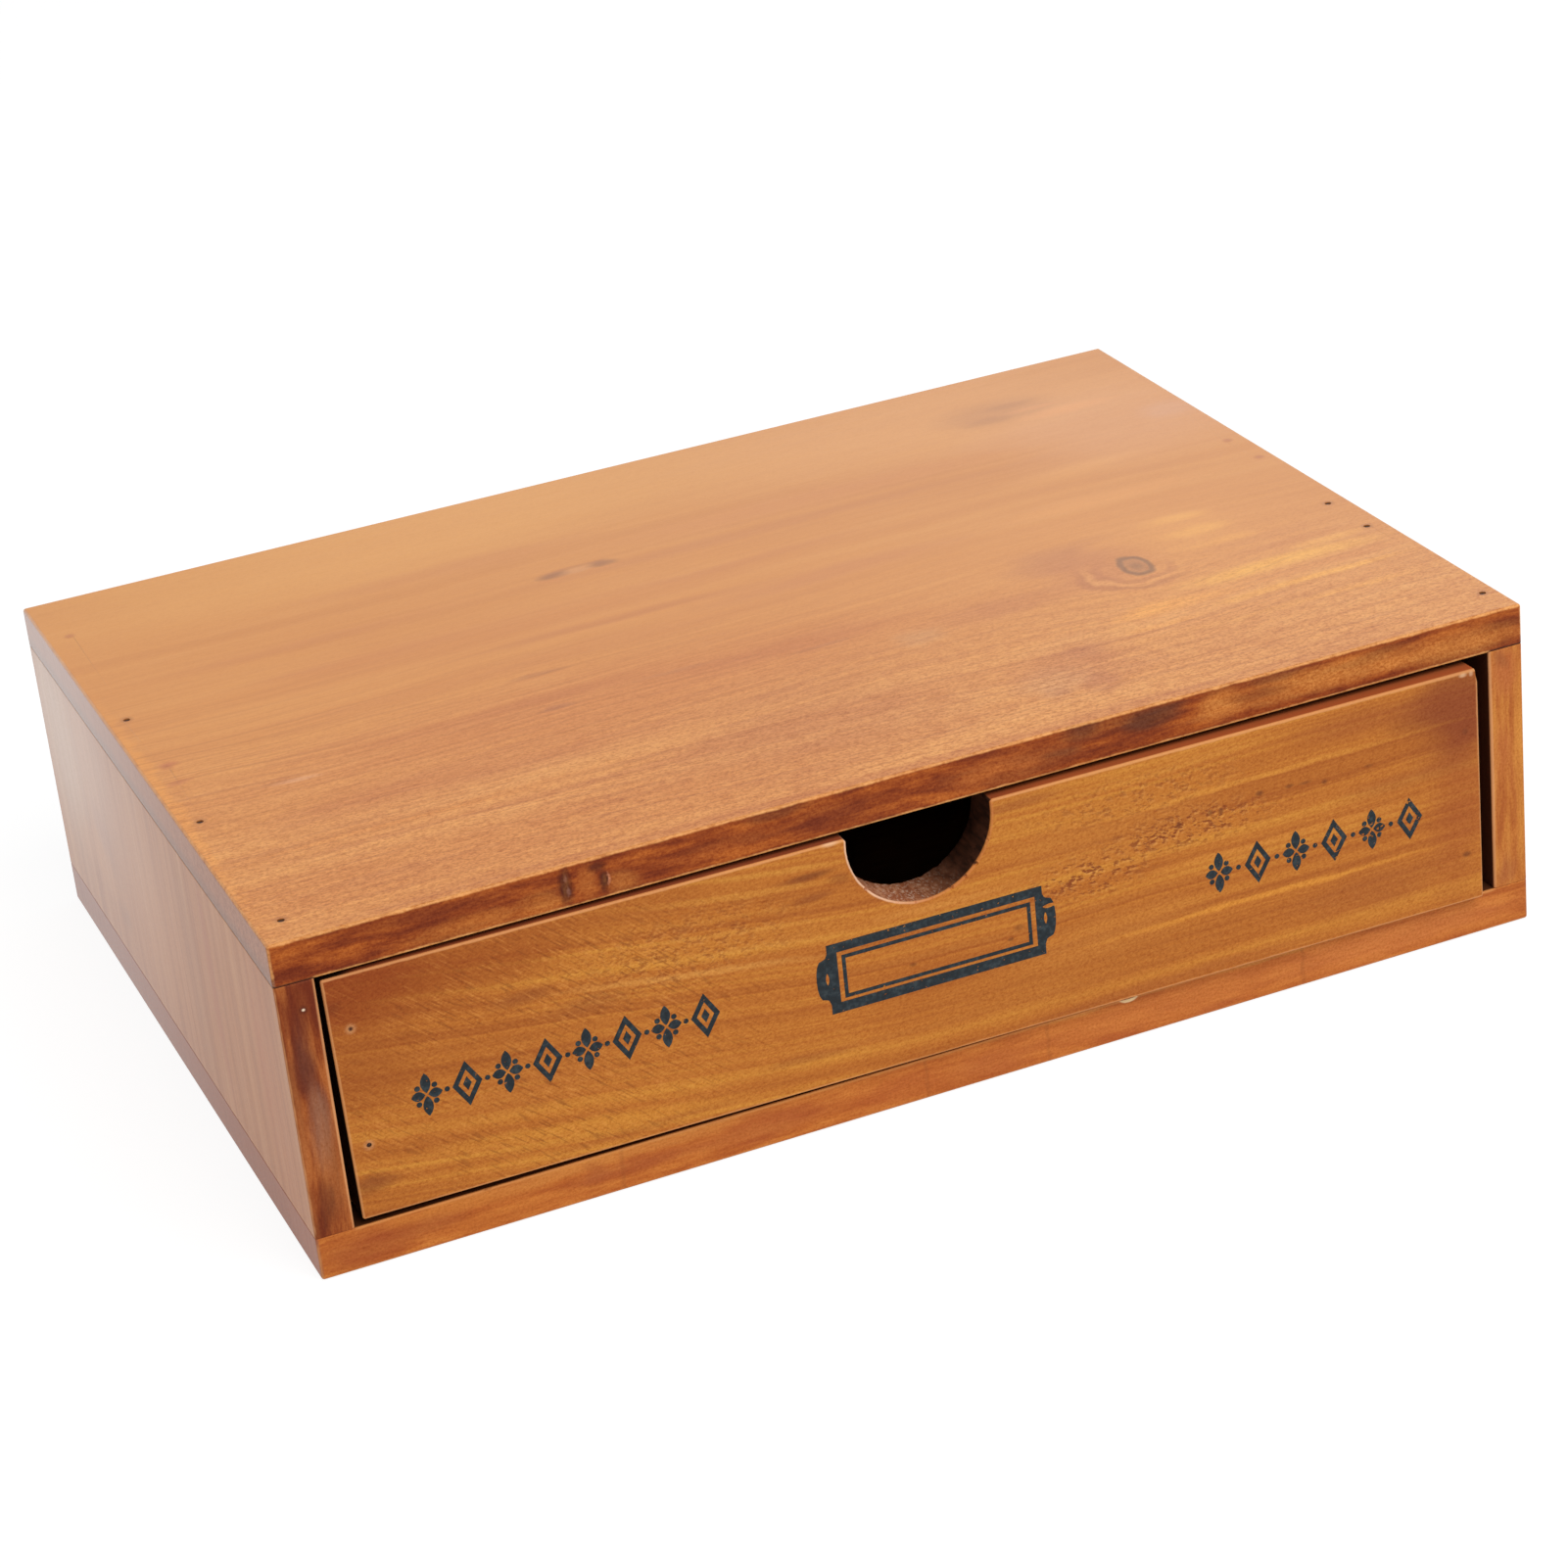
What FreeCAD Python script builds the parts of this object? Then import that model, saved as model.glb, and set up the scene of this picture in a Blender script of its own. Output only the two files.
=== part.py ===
import FreeCAD, Part
import math
import os

# A desktop organizer: a shallow wooden case, open at the front, with one full-width drawer.
# Millimetres. X runs to the right along the front, Y to the back and Z up, and the origin
# lies on the table under the middle of the case.

# Case, outside
case_width = 335.0
case_depth = 237.0
case_height = 90.5

# Case boards
top_thickness = 11.0
bottom_thickness = 11.5
side_thickness = 10.0
back_panel_thickness = 4.0
back_panel_lap = 5.0
back_panel_gap = 0.2

# Edges worn round in the hand, and edges barely eased where two pieces meet
arris = 0.8
seam_arris = 0.3
panel_arris = 0.4

# Gaps between the drawer front and the opening: the front was not cut quite square
front_gap_left_top = 1.1
front_gap_left_bottom = 2.2
front_gap_right = 5.4
front_gap_top_left = 1.1
front_gap_top_right = 1.7
front_gap_bottom_left = 1.8
front_gap_bottom_right = 0.8

# Drawer
front_thickness = 12.0
front_proud = 0.4
front_right_further_out = 3.0
front_arris = 0.5
front_corner_radius = 0.6
front_worn_corner_radius = 1.2
drawer_side_thickness = 8.0
drawer_back_thickness = 8.0
drawer_bottom_thickness = 3.0
drawer_side_inset = 0.2
drawer_rim_drop = 5.0
drawer_run_gap = 0.3
drawer_stop_gap = 0.5

# Round finger cut in the top edge of the drawer front
finger_cut_radius = 19.3
finger_cut_drop = 2.6
finger_cut_off_centre = -4.2
finger_cut_corner_radius = 1.0

# Case brads, and the thinner pins of the drawer and the back panel
brad_head_radius = 0.9
brad_shank_radius = 0.6
brad_hold = 15.0
pin_head_radius = 0.6
pin_shank_radius = 0.4
pin_hold = 9.0
nail_head_height = 0.6
nail_point_length = 1.6
nail_set = 0.3
nail_hole_gap = 0.02

# Brads along each top edge: share of the depth from the front, and distance from the middle
# of the side board's edge towards the outside of the case, as a share of that board's thickness
top_left_brad_shares = ((0.048, -0.20), (0.313, -0.02), (0.465, -0.16), (0.612, -0.05), (0.883, -0.15))
top_right_brad_shares = ((0.049, 0.07), (0.286, -0.06), (0.371, -0.10), (0.545, 0.05), (0.615, -0.05))

# Brads of the drawer front: share of its height there, from its lower edge
front_left_brad_heights = (0.299, 0.783)
front_right_brad_heights = (0.192, 0.749)

# Rows of nails at an even pitch: how many, and how far the first lies from the end
bottom_brad_count = 5
bottom_brad_inset = 12.0
back_pin_count = 3
back_pin_inset = 10.0
drawer_back_pin_count = 2
drawer_back_pin_inset = 14.0
drawer_bottom_side_pin_count = 4
drawer_bottom_back_pin_count = 3
drawer_bottom_pin_inset = 20.0

# Points closer than this are one point
same_place = 1e-6

# Planes of the case
left = -case_width / 2
right = case_width / 2
front = -case_depth / 2
back = case_depth / 2
opening_left = left + side_thickness
opening_right = right - side_thickness
opening_bottom = bottom_thickness
opening_top = case_height - top_thickness
back_panel_front = back - back_panel_thickness

# Planes of the drawer, as if it stood straight in the opening
front_face = front - front_proud
front_inside = front_face + front_thickness
front_low_left = opening_bottom + front_gap_bottom_left
front_low_right = opening_bottom + front_gap_bottom_right
front_high_left = opening_top - front_gap_top_left
front_high_right = opening_top - front_gap_top_right
front_left_low = opening_left + front_gap_left_bottom
front_left_high = opening_left + front_gap_left_top
front_right = opening_right - front_gap_right
box_left = max(front_left_low, front_left_high) + drawer_side_inset
box_right = front_right - drawer_side_inset
box_back = back_panel_front - drawer_stop_gap
box_under = opening_bottom + drawer_run_gap
box_floor = box_under + drawer_bottom_thickness
box_rim = min(front_high_left, front_high_right) - drawer_rim_drop

# The drawer rests a little askew in its play, so its right end stands out further than its left
front_run = front_right - front_left_high
drawer_skew = math.degrees(math.asin(front_right_further_out / front_run))

UP = FreeCAD.Vector(0, 0, 1)
DOWN = FreeCAD.Vector(0, 0, -1)
TO_BACK = FreeCAD.Vector(0, 1, 0)
TO_FRONT = FreeCAD.Vector(0, -1, 0)
TO_RIGHT = FreeCAD.Vector(1, 0, 0)
TO_LEFT = FreeCAD.Vector(-1, 0, 0)


# True where the whole edge lies in the plane that has this value on this axis.
def lies_in(edge, axis, value):
    points = [vertex.Point for vertex in edge.Vertexes]
    points.append(edge.valueAt((edge.FirstParameter + edge.LastParameter) / 2))
    return all(abs(point[axis] - value) < same_place for point in points)


# A board between two corners. Faces are named by axis and end, such as (2, 1) for the top.
# The edges of the jointed faces are barely eased, and all others are worn round.
def board(low, high, jointed, worn=arris):
    size = [b - a for a, b in zip(low, high)]
    shape = Part.makeBox(*size, FreeCAD.Vector(*low))
    planes = [(axis, (low, high)[end][axis]) for axis, end in jointed]

    def is_jointed(edge):
        return any(lies_in(edge, axis, value) for axis, value in planes)

    shape = shape.makeFillet(worn, [edge for edge in shape.Edges if not is_jointed(edge)])
    return shape.makeFillet(seam_arris, [edge for edge in shape.Edges if is_jointed(edge)])


# A nail along -Z with the top of its head at the origin. As a hole it is a little wider,
# and goes on upwards to the surface that the nail was set below.
def nail(head_radius, shank_radius, length, gap=0.0, above=0.0):
    points = [
        (0, above),
        (head_radius + gap, above),
        (head_radius + gap, -nail_head_height - gap),
        (shank_radius + gap, -nail_head_height - gap),
        (shank_radius + gap, nail_point_length - length),
        (0, -length - gap),
    ]
    outline = [FreeCAD.Vector(x, 0, z) for x, z in points]
    wire = Part.makePolygon(outline + outline[:1])
    return Part.Face(wire).revolve(FreeCAD.Vector(0, 0, 0), UP, 360)


# One row of nails through one piece into the next: where they start, the way they are
# driven, and the thickness that they pass through.
class NailRow:
    def __init__(self, places, drive, through, thin=False):
        self.places = places
        self.drive = drive
        self.length = through + (pin_hold if thin else brad_hold)
        self.head_radius = pin_head_radius if thin else brad_head_radius
        self.shank_radius = pin_shank_radius if thin else brad_shank_radius

    def placed(self, solid, place):
        seat = FreeCAD.Vector(*place) + self.drive * nail_set
        solid.Placement = FreeCAD.Placement(seat, FreeCAD.Rotation(DOWN, self.drive))
        return solid

    def nails(self):
        sizes = (self.head_radius, self.shank_radius, self.length)
        return Part.makeCompound([self.placed(nail(*sizes), place) for place in self.places])

    def cut_from(self, shape):
        sizes = (self.head_radius, self.shank_radius, self.length, nail_hole_gap, nail_set + arris)
        holes = [self.placed(nail(*sizes), place) for place in self.places]
        return shape.cut(holes)


# Evenly spaced values from one end to the other, each end inset.
def even_row(start, end, count, inset):
    step = (end - start - 2 * inset) / (count - 1)
    return [start + inset + step * number for number in range(count)]


def top_brads(shares, middle, outward):
    spots = []
    for depth_share, off_share in shares:
        x = middle + outward * off_share * side_thickness
        spots.append((x, front + depth_share * case_depth, case_height))
    return NailRow(spots, DOWN, top_thickness)


def bottom_brads(middle):
    depths = even_row(front, back, bottom_brad_count, bottom_brad_inset)
    return NailRow([(middle, y, 0) for y in depths], UP, bottom_thickness)


def back_pins(middle):
    heights = even_row(opening_bottom, opening_top, back_pin_count, back_pin_inset)
    return NailRow([(middle, back, z) for z in heights], TO_FRONT, back_panel_thickness, thin=True)


# Heights of the drawer front's lower and upper edge, which both fall a little to the right.
def front_low(x):
    fall = front_low_left - front_low_right
    return front_low_left - fall * (x - front_left_high) / front_run


def front_high(x):
    fall = front_high_left - front_high_right
    return front_high_left - fall * (x - front_left_high) / front_run


def front_brads(middle, shares):
    height = front_high(middle) - front_low(middle)
    heights = [front_low(middle) + share * height for share in shares]
    return NailRow([(middle, front_face, z) for z in heights], TO_BACK, front_thickness, thin=True)


def drawer_back_pins(outside, drive):
    heights = even_row(box_floor, box_rim, drawer_back_pin_count, drawer_back_pin_inset)
    depth = box_back - drawer_back_thickness / 2
    return NailRow([(outside, depth, z) for z in heights], drive, drawer_side_thickness, thin=True)


def drawer_bottom_side_pins(middle):
    depths = even_row(front_inside, box_back, drawer_bottom_side_pin_count, drawer_bottom_pin_inset)
    return NailRow([(middle, y, box_under) for y in depths], UP, drawer_bottom_thickness, thin=True)


def drawer_bottom_back_pins():
    widths = even_row(box_left, box_right, drawer_bottom_back_pin_count, 2 * drawer_bottom_pin_inset)
    depth = box_back - drawer_back_thickness / 2
    return NailRow([(x, depth, box_under) for x in widths], UP, drawer_bottom_thickness, thin=True)


# A side board stands between the top and the bottom board, with a rebate along the inner
# rear edge that takes the back panel.
def side_board(low_x, high_x, rebate_low_x):
    low = (low_x, front, opening_bottom)
    high = (high_x, back, opening_top)
    shape = board(low, high, [(2, 0), (2, 1)])
    corner = FreeCAD.Vector(rebate_low_x, back_panel_front, opening_bottom)
    rebate = Part.makeBox(back_panel_lap, back_panel_thickness, opening_top - opening_bottom, corner)
    return shape.cut(rebate)


def back_panel():
    low_x = opening_left - back_panel_lap + back_panel_gap
    high_x = opening_right + back_panel_lap - back_panel_gap
    low = (low_x, back_panel_front, opening_bottom + back_panel_gap)
    high = (high_x, back, opening_top - back_panel_gap)
    return board(low, high, [(1, 0)], worn=panel_arris)


# The drawer front: a board with a slanted left end and more than half a circle cut from
# the middle of its top edge. Its upper right corner is the most worn.
def drawer_front():
    def at(x, z):
        return FreeCAD.Vector(x, front_face, z)

    low_left = at(front_left_low, front_low_left)
    low_right = at(front_right, front_low_right)
    high_right = at(front_right, front_high_right)
    high_left = at(front_left_high, front_high_left)

    along = (high_right - high_left).normalize()
    upward = along.cross(TO_BACK)
    half = math.sqrt(finger_cut_radius ** 2 - finger_cut_drop ** 2)
    mouth = at(finger_cut_off_centre, front_high(finger_cut_off_centre))
    cut_right = mouth + along * half
    cut_left = mouth - along * half
    cut_bottom = mouth - upward * (finger_cut_drop + finger_cut_radius)

    outline = [
        Part.LineSegment(low_left, low_right),
        Part.LineSegment(low_right, high_right),
        Part.LineSegment(high_right, cut_right),
        Part.Arc(cut_right, cut_bottom, cut_left),
        Part.LineSegment(cut_left, high_left),
        Part.LineSegment(high_left, low_left),
    ]
    face = Part.Face(Part.Wire([curve.toShape() for curve in outline]))
    shape = face.extrude(TO_BACK * front_thickness)

    def through(edge, corner):
        ends = [vertex.Point - corner for vertex in edge.Vertexes]
        return all(math.hypot(end.x, end.z) < same_place for end in ends)

    def rounded(shape, corner, radius):
        return shape.makeFillet(radius, [edge for edge in shape.Edges if through(edge, corner)])

    for corner in (low_left, low_right, high_left):
        shape = rounded(shape, corner, front_corner_radius)
    for corner in (cut_left, cut_right):
        shape = rounded(shape, corner, finger_cut_corner_radius)
    shape = rounded(shape, high_right, front_worn_corner_radius)
    rim = [edge for edge in shape.Edges if lies_in(edge, 1, front_face) or lies_in(edge, 1, front_inside)]
    return shape.makeFillet(front_arris, rim)


def drawer_side(low_x, high_x):
    low = (low_x, front_inside, box_floor)
    high = (high_x, box_back, box_rim)
    return board(low, high, [(1, 0), (2, 0)])


def drawer_back():
    low = (box_left + drawer_side_thickness, box_back - drawer_back_thickness, box_floor)
    high = (box_right - drawer_side_thickness, box_back, box_rim)
    return board(low, high, [(0, 0), (0, 1), (2, 0)])


def drawer_bottom():
    low = (box_left, front_inside, box_under)
    high = (box_right, box_back, box_floor)
    return board(low, high, [(1, 0), (2, 1)], worn=panel_arris)


# Turns a piece of the drawer about the front left corner, as the whole drawer sits askew.
def askew(shape):
    corner = FreeCAD.Vector(front_left_high, front_face, 0)
    turned = shape.copy()
    turned.rotate(corner, UP, -drawer_skew)
    return turned


def case_pieces():
    left_middle = left + side_thickness / 2
    right_middle = right - side_thickness / 2
    rows = {
        "top_left_brads": top_brads(top_left_brad_shares, left_middle, -1),
        "top_right_brads": top_brads(top_right_brad_shares, right_middle, 1),
        "bottom_left_brads": bottom_brads(left_middle),
        "bottom_right_brads": bottom_brads(right_middle),
        "back_panel_left_pins": back_pins(opening_left - back_panel_lap / 2),
        "back_panel_right_pins": back_pins(opening_right + back_panel_lap / 2),
    }
    top = board((left, front, opening_top), (right, back, case_height), [(2, 0)])
    bottom = board((left, front, 0), (right, back, opening_bottom), [(2, 1)])
    left_side = side_board(left, opening_left, opening_left - back_panel_lap)
    right_side = side_board(opening_right, right, opening_right)
    pieces = {
        "top_board": (top, ["top_left_brads", "top_right_brads"]),
        "bottom_board": (bottom, ["bottom_left_brads", "bottom_right_brads"]),
        "left_side_board": (left_side, ["top_left_brads", "bottom_left_brads", "back_panel_left_pins"]),
        "right_side_board": (right_side, ["top_right_brads", "bottom_right_brads", "back_panel_right_pins"]),
        "back_panel": (back_panel(), ["back_panel_left_pins", "back_panel_right_pins"]),
    }
    return nailed(pieces, rows)


def drawer_pieces():
    left_middle = box_left + drawer_side_thickness / 2
    right_middle = box_right - drawer_side_thickness / 2
    rows = {
        "drawer_front_left_brads": front_brads(left_middle, front_left_brad_heights),
        "drawer_front_right_brads": front_brads(right_middle, front_right_brad_heights),
        "drawer_back_left_pins": drawer_back_pins(box_left, TO_RIGHT),
        "drawer_back_right_pins": drawer_back_pins(box_right, TO_LEFT),
        "drawer_bottom_left_pins": drawer_bottom_side_pins(left_middle),
        "drawer_bottom_right_pins": drawer_bottom_side_pins(right_middle),
        "drawer_bottom_back_pins": drawer_bottom_back_pins(),
    }
    left_side = drawer_side(box_left, box_left + drawer_side_thickness)
    right_side = drawer_side(box_right - drawer_side_thickness, box_right)
    pieces = {
        "drawer_front": (drawer_front(), ["drawer_front_left_brads", "drawer_front_right_brads"]),
        "drawer_left_side": (
            left_side,
            ["drawer_front_left_brads", "drawer_back_left_pins", "drawer_bottom_left_pins"],
        ),
        "drawer_right_side": (
            right_side,
            ["drawer_front_right_brads", "drawer_back_right_pins", "drawer_bottom_right_pins"],
        ),
        "drawer_back": (
            drawer_back(),
            ["drawer_back_left_pins", "drawer_back_right_pins", "drawer_bottom_back_pins"],
        ),
        "drawer_bottom": (
            drawer_bottom(),
            ["drawer_bottom_left_pins", "drawer_bottom_right_pins", "drawer_bottom_back_pins"],
        ),
    }
    return {name: askew(shape) for name, shape in nailed(pieces, rows).items()}


# Cuts the holes of each board's own nails, and adds the rows of nails themselves.
def nailed(pieces, rows):
    shapes = {}
    for name, (shape, row_names) in pieces.items():
        for row_name in row_names:
            shape = rows[row_name].cut_from(shape)
        shapes[name] = shape
    for name, row in rows.items():
        shapes[name] = row.nails()
    return shapes


os.makedirs("parts", exist_ok=True)
print("drawer skew, degrees", round(drawer_skew, 3))
for name, shape in {**case_pieces(), **drawer_pieces()}.items():
    shape.exportStep("parts/" + name + ".step")
    print(name, len(shape.Solids), "solids, valid", shape.isValid(), round(shape.Volume), "mm3")
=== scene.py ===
import bmesh
import bpy
import math
import random
from mathutils import Matrix, Vector, noise


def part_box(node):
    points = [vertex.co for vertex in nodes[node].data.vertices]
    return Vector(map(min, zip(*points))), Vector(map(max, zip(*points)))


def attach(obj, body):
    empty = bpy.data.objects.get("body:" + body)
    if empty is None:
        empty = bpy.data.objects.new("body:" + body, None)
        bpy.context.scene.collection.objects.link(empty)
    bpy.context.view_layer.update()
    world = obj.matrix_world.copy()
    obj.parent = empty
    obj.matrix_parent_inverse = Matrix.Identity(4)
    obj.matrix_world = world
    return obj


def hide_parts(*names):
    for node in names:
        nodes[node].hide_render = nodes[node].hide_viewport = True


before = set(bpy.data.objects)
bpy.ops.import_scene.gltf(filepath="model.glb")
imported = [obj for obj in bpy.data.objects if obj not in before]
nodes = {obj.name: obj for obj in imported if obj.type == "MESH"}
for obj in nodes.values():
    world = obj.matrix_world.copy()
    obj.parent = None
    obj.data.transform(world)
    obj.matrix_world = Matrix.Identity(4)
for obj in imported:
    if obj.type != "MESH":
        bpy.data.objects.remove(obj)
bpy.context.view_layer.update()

mm = 0.001


# Where the photographer stood, and how far the picture leans
shot = {
    "place": (-0.3515, -0.9609, 0.5250),
    "towards": (0.3156, 0.8456, -0.4305),
    "leanDegrees": -6.09,
    "lens": 95.79,
    "sensor": 36.0,
}


def makeCamera():
    forward = Vector(shot["towards"]).normalized()
    level = forward.cross(Vector((0, 0, 1))).normalized()
    upright = level.cross(forward)
    lean = math.radians(shot["leanDegrees"])
    right = level * math.cos(lean) + upright * math.sin(lean)
    up = upright * math.cos(lean) - level * math.sin(lean)
    data = bpy.data.cameras.new("camera")
    data.sensor_fit = "HORIZONTAL"
    data.sensor_width = shot["sensor"]
    data.lens = shot["lens"]
    data.clip_start = 0.05
    data.clip_end = 50
    camera = bpy.data.objects.new("camera", data)
    turn = Matrix((right, up, -forward)).transposed().to_4x4()
    camera.matrix_world = Matrix.Translation(shot["place"]) @ turn
    bpy.context.scene.collection.objects.link(camera)
    bpy.context.scene.camera = camera
    bpy.context.scene.view_settings.view_transform = "Standard"


def tint(red, green, blue):                 # a screen colour, 0 to 255, as linear light
    def linear(step):
        share = step / 255
        return share / 12.92 if share <= 0.04045 else ((share + 0.055) / 1.055) ** 2.4
    return (linear(red), linear(green), linear(blue), 1.0)


# A shader value that can stand in a sum
class Value:
    def __init__(self, recipe, socket):
        self.recipe = recipe
        self.socket = socket

    def __add__(self, other):
        return self.recipe.math("ADD", self, other)

    def __radd__(self, other):
        return self.recipe.math("ADD", other, self)

    def __sub__(self, other):
        return self.recipe.math("SUBTRACT", self, other)

    def __rsub__(self, other):
        return self.recipe.math("SUBTRACT", other, self)

    def __mul__(self, other):
        return self.recipe.math("MULTIPLY", self, other)

    def __rmul__(self, other):
        return self.recipe.math("MULTIPLY", other, self)

    def __truediv__(self, other):
        return self.recipe.math("DIVIDE", self, other)

    def __rtruediv__(self, other):
        return self.recipe.math("DIVIDE", other, self)

    def __abs__(self):
        return self.recipe.math("ABSOLUTE", self)


# One material, or the world, as a recipe of nodes
class Recipe:
    def __init__(self, tree):
        self.tree = tree
        tree.nodes.clear()

    def node(self, kind, settings=None, sockets=None, out=0):
        made = self.tree.nodes.new(kind)
        for key, value in (settings or {}).items():
            if key == "stops":
                self.fillRamp(made.color_ramp, value)
            else:
                setattr(made, key, value)
        for key, value in (sockets or {}).items():
            if isinstance(value, Value):
                self.tree.links.new(value.socket, made.inputs[key])
            else:
                made.inputs[key].default_value = value
        if isinstance(out, tuple):
            return [Value(self, made.outputs[number]) for number in out]
        return Value(self, made.outputs[out]) if made.outputs else None

    def fillRamp(self, ramp, stops):
        while len(ramp.elements) < len(stops):
            ramp.elements.new(1.0)
        for element, (place, colour) in zip(ramp.elements, stops):
            element.position = place
            element.color = colour

    def math(self, operation, *terms):
        return self.node("ShaderNodeMath", {"operation": operation}, dict(enumerate(terms)))

    def stretched(self, vector, by):
        return self.node("ShaderNodeVectorMath", {"operation": "MULTIPLY"}, {0: vector, 1: by})

    def shifted(self, vector, by):
        return self.node("ShaderNodeVectorMath", {"operation": "ADD"}, {0: vector, 1: by})

    def split(self, vector):
        return self.node("ShaderNodeSeparateXYZ", None, {0: vector}, out=(0, 1, 2))

    def joined(self, x, y, z):
        return self.node("ShaderNodeCombineXYZ", None, {0: x, 1: y, 2: z})

    def noise(self, vector, by, detail=2.0, roughness=0.5):
        placed = self.stretched(vector, by)
        sockets = {"Vector": placed, "Scale": 1.0, "Detail": detail, "Roughness": roughness}
        return self.node("ShaderNodeTexNoise", None, sockets)

    def bands(self, value, detail=1.0):                     # uneven bands along one value
        sockets = {"W": value, "Scale": 1.0, "Detail": detail}
        return self.node("ShaderNodeTexNoise", {"noise_dimensions": "1D"}, sockets)

    def rise(self, value, low, high):                       # 0 at low, 1 at high, smooth between
        settings = {"interpolation_type": "SMOOTHSTEP"}
        return self.node("ShaderNodeMapRange", settings, {"Value": value, 1: low, 2: high})

    def least(self, first, second):
        return self.math("MINIMUM", first, second)

    def most(self, first, second):
        return self.math("MAXIMUM", first, second)

    def root(self, value):
        return self.math("SQRT", value)

    def mix(self, factor, first, second):
        settings = {"data_type": "RGBA", "clamp_factor": True}
        return self.node("ShaderNodeMix", settings, {0: factor, 6: first, 7: second}, out=2)

    def ramp(self, value, stops):                           # from one screen colour to the next
        stops = [(at, tint(*tone)) for at, tone in stops]
        return self.node("ShaderNodeValToRGB", {"stops": stops}, {0: value})

    def over(self, colour, amount, tone):                   # a screen colour laid on where amount is 1
        return self.mix(amount, colour, tint(*tone))

    def flat(self, tone):                                   # one even colour
        even = self.node("ShaderNodeRGB")
        even.socket.default_value = tint(*tone)
        return even

    # The strength inside an oval, and 0 outside
    def spot(self, flat, middle, radii, strength=1.0, core=0.2):
        scale = (1 / radii[0], 1 / radii[1], 0)
        shift = (-middle[0] / radii[0], -middle[1] / radii[1], 0)
        settings = {"operation": "MULTIPLY_ADD"}
        placed = self.node("ShaderNodeVectorMath", settings, {0: flat, 1: scale, 2: shift})
        reach = self.node("ShaderNodeVectorMath", {"operation": "LENGTH"}, {0: placed}, out=1)
        settings = {"interpolation_type": "SMOOTHSTEP"}
        sockets = {"Value": reach, 1: core, 2: 1.0, 3: strength, 4: 0.0}
        return self.node("ShaderNodeMapRange", settings, sockets)


def newMaterial(name):
    material = bpy.data.materials.new(name)
    material.use_nodes = True
    return material, Recipe(material.node_tree)


def finishSurface(recipe, constants, sockets):
    surface = recipe.node("ShaderNodeBsdfPrincipled", None, {**constants, **sockets})
    recipe.node("ShaderNodeOutputMaterial", None, {0: surface})


# The white table top and the light of the room
stage = {
    "floorSize": 12.0,
    "floorDrop": 0.0002,
    "floorWhite": (0.82, 0.82, 0.82, 1.0),
    "seenGlow": 0.88,
    "seenWhite": (0.20, 0.20, 0.20, 1.0),
    "roomLight": 0.48,
    "lampFrom": (0.35, -1.05, 1.45),
    "lampSize": 1.3,
    "lampPower": 18.5,
}


def lookedAt(recipe):                        # 1 where the camera or a mirror image looks
    camera, glossy, transmitted = recipe.node("ShaderNodeLightPath", out=(0, 3, 6))
    return recipe.most(camera, recipe.most(glossy, transmitted))


def makeFloor():
    half = stage["floorSize"] / 2
    drop = stage["floorDrop"]
    corners = [(-half, -half, -drop), (half, -half, -drop), (half, half, -drop), (-half, half, -drop)]
    mesh = bpy.data.meshes.new("floor")
    mesh.from_pydata(corners, [], [(0, 1, 2, 3)])
    floor = bpy.data.objects.new("floor", mesh)
    bpy.context.scene.collection.objects.link(floor)
    material, recipe = newMaterial("floor")
    lit = recipe.node("ShaderNodeBsdfDiffuse", None, {"Color": stage["floorWhite"]})
    seen = recipe.node("ShaderNodeBsdfDiffuse", None, {"Color": stage["seenWhite"]})
    glow = recipe.node("ShaderNodeEmission", None, {"Strength": stage["seenGlow"]})
    bright = recipe.node("ShaderNodeAddShader", None, {0: seen, 1: glow})
    top = recipe.node("ShaderNodeMixShader", None, {0: lookedAt(recipe), 1: lit, 2: bright})
    clear = recipe.node("ShaderNodeBsdfTransparent")
    behind = recipe.node("ShaderNodeNewGeometry", out=6)
    either = recipe.node("ShaderNodeMixShader", None, {0: behind, 1: top, 2: clear})
    recipe.node("ShaderNodeOutputMaterial", None, {0: either})
    mesh.materials.append(material)


def makeLight():
    world = bpy.data.worlds.new("room")
    world.use_nodes = True
    bpy.context.scene.world = world
    recipe = Recipe(world.node_tree)
    colour = (1, 1, 1, 1)
    dim = recipe.node("ShaderNodeBackground", None, {"Color": colour, "Strength": stage["roomLight"]})
    white = recipe.node("ShaderNodeBackground", None, {"Color": colour, "Strength": 1.0})
    both = recipe.node("ShaderNodeMixShader", None, {0: lookedAt(recipe), 1: dim, 2: white})
    recipe.node("ShaderNodeOutputWorld", None, {0: both})
    data = bpy.data.lights.new("lamp", "AREA")
    data.size = stage["lampSize"]
    data.energy = stage["lampPower"]
    lamp = bpy.data.objects.new("lamp", data)
    lamp.location = stage["lampFrom"]
    lamp.rotation_euler = (-Vector(stage["lampFrom"])).to_track_quat("-Z", "Y").to_euler()
    bpy.context.scene.collection.objects.link(lamp)


makeCamera()
makeFloor()
makeLight()
print("stage ready")


# The face of the drawer front, which sits a little askew: how far it turns, and where it lies
def frontPlane():
    mesh = nodes["drawer_front"].data
    facing = [face for face in mesh.polygons if face.normal.y < -0.99]
    normal = sum((face.normal * face.area for face in facing), Vector()).normalized()
    point = max(facing, key=lambda face: face.area).center
    turn = math.atan2(-normal.x, -normal.y)
    return turn, point.y + point.x * normal.x / normal.y


drawerTurn, drawerPlane = frontPlane()
print("drawer turned by", round(math.degrees(drawerTurn), 2), "degrees")


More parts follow.
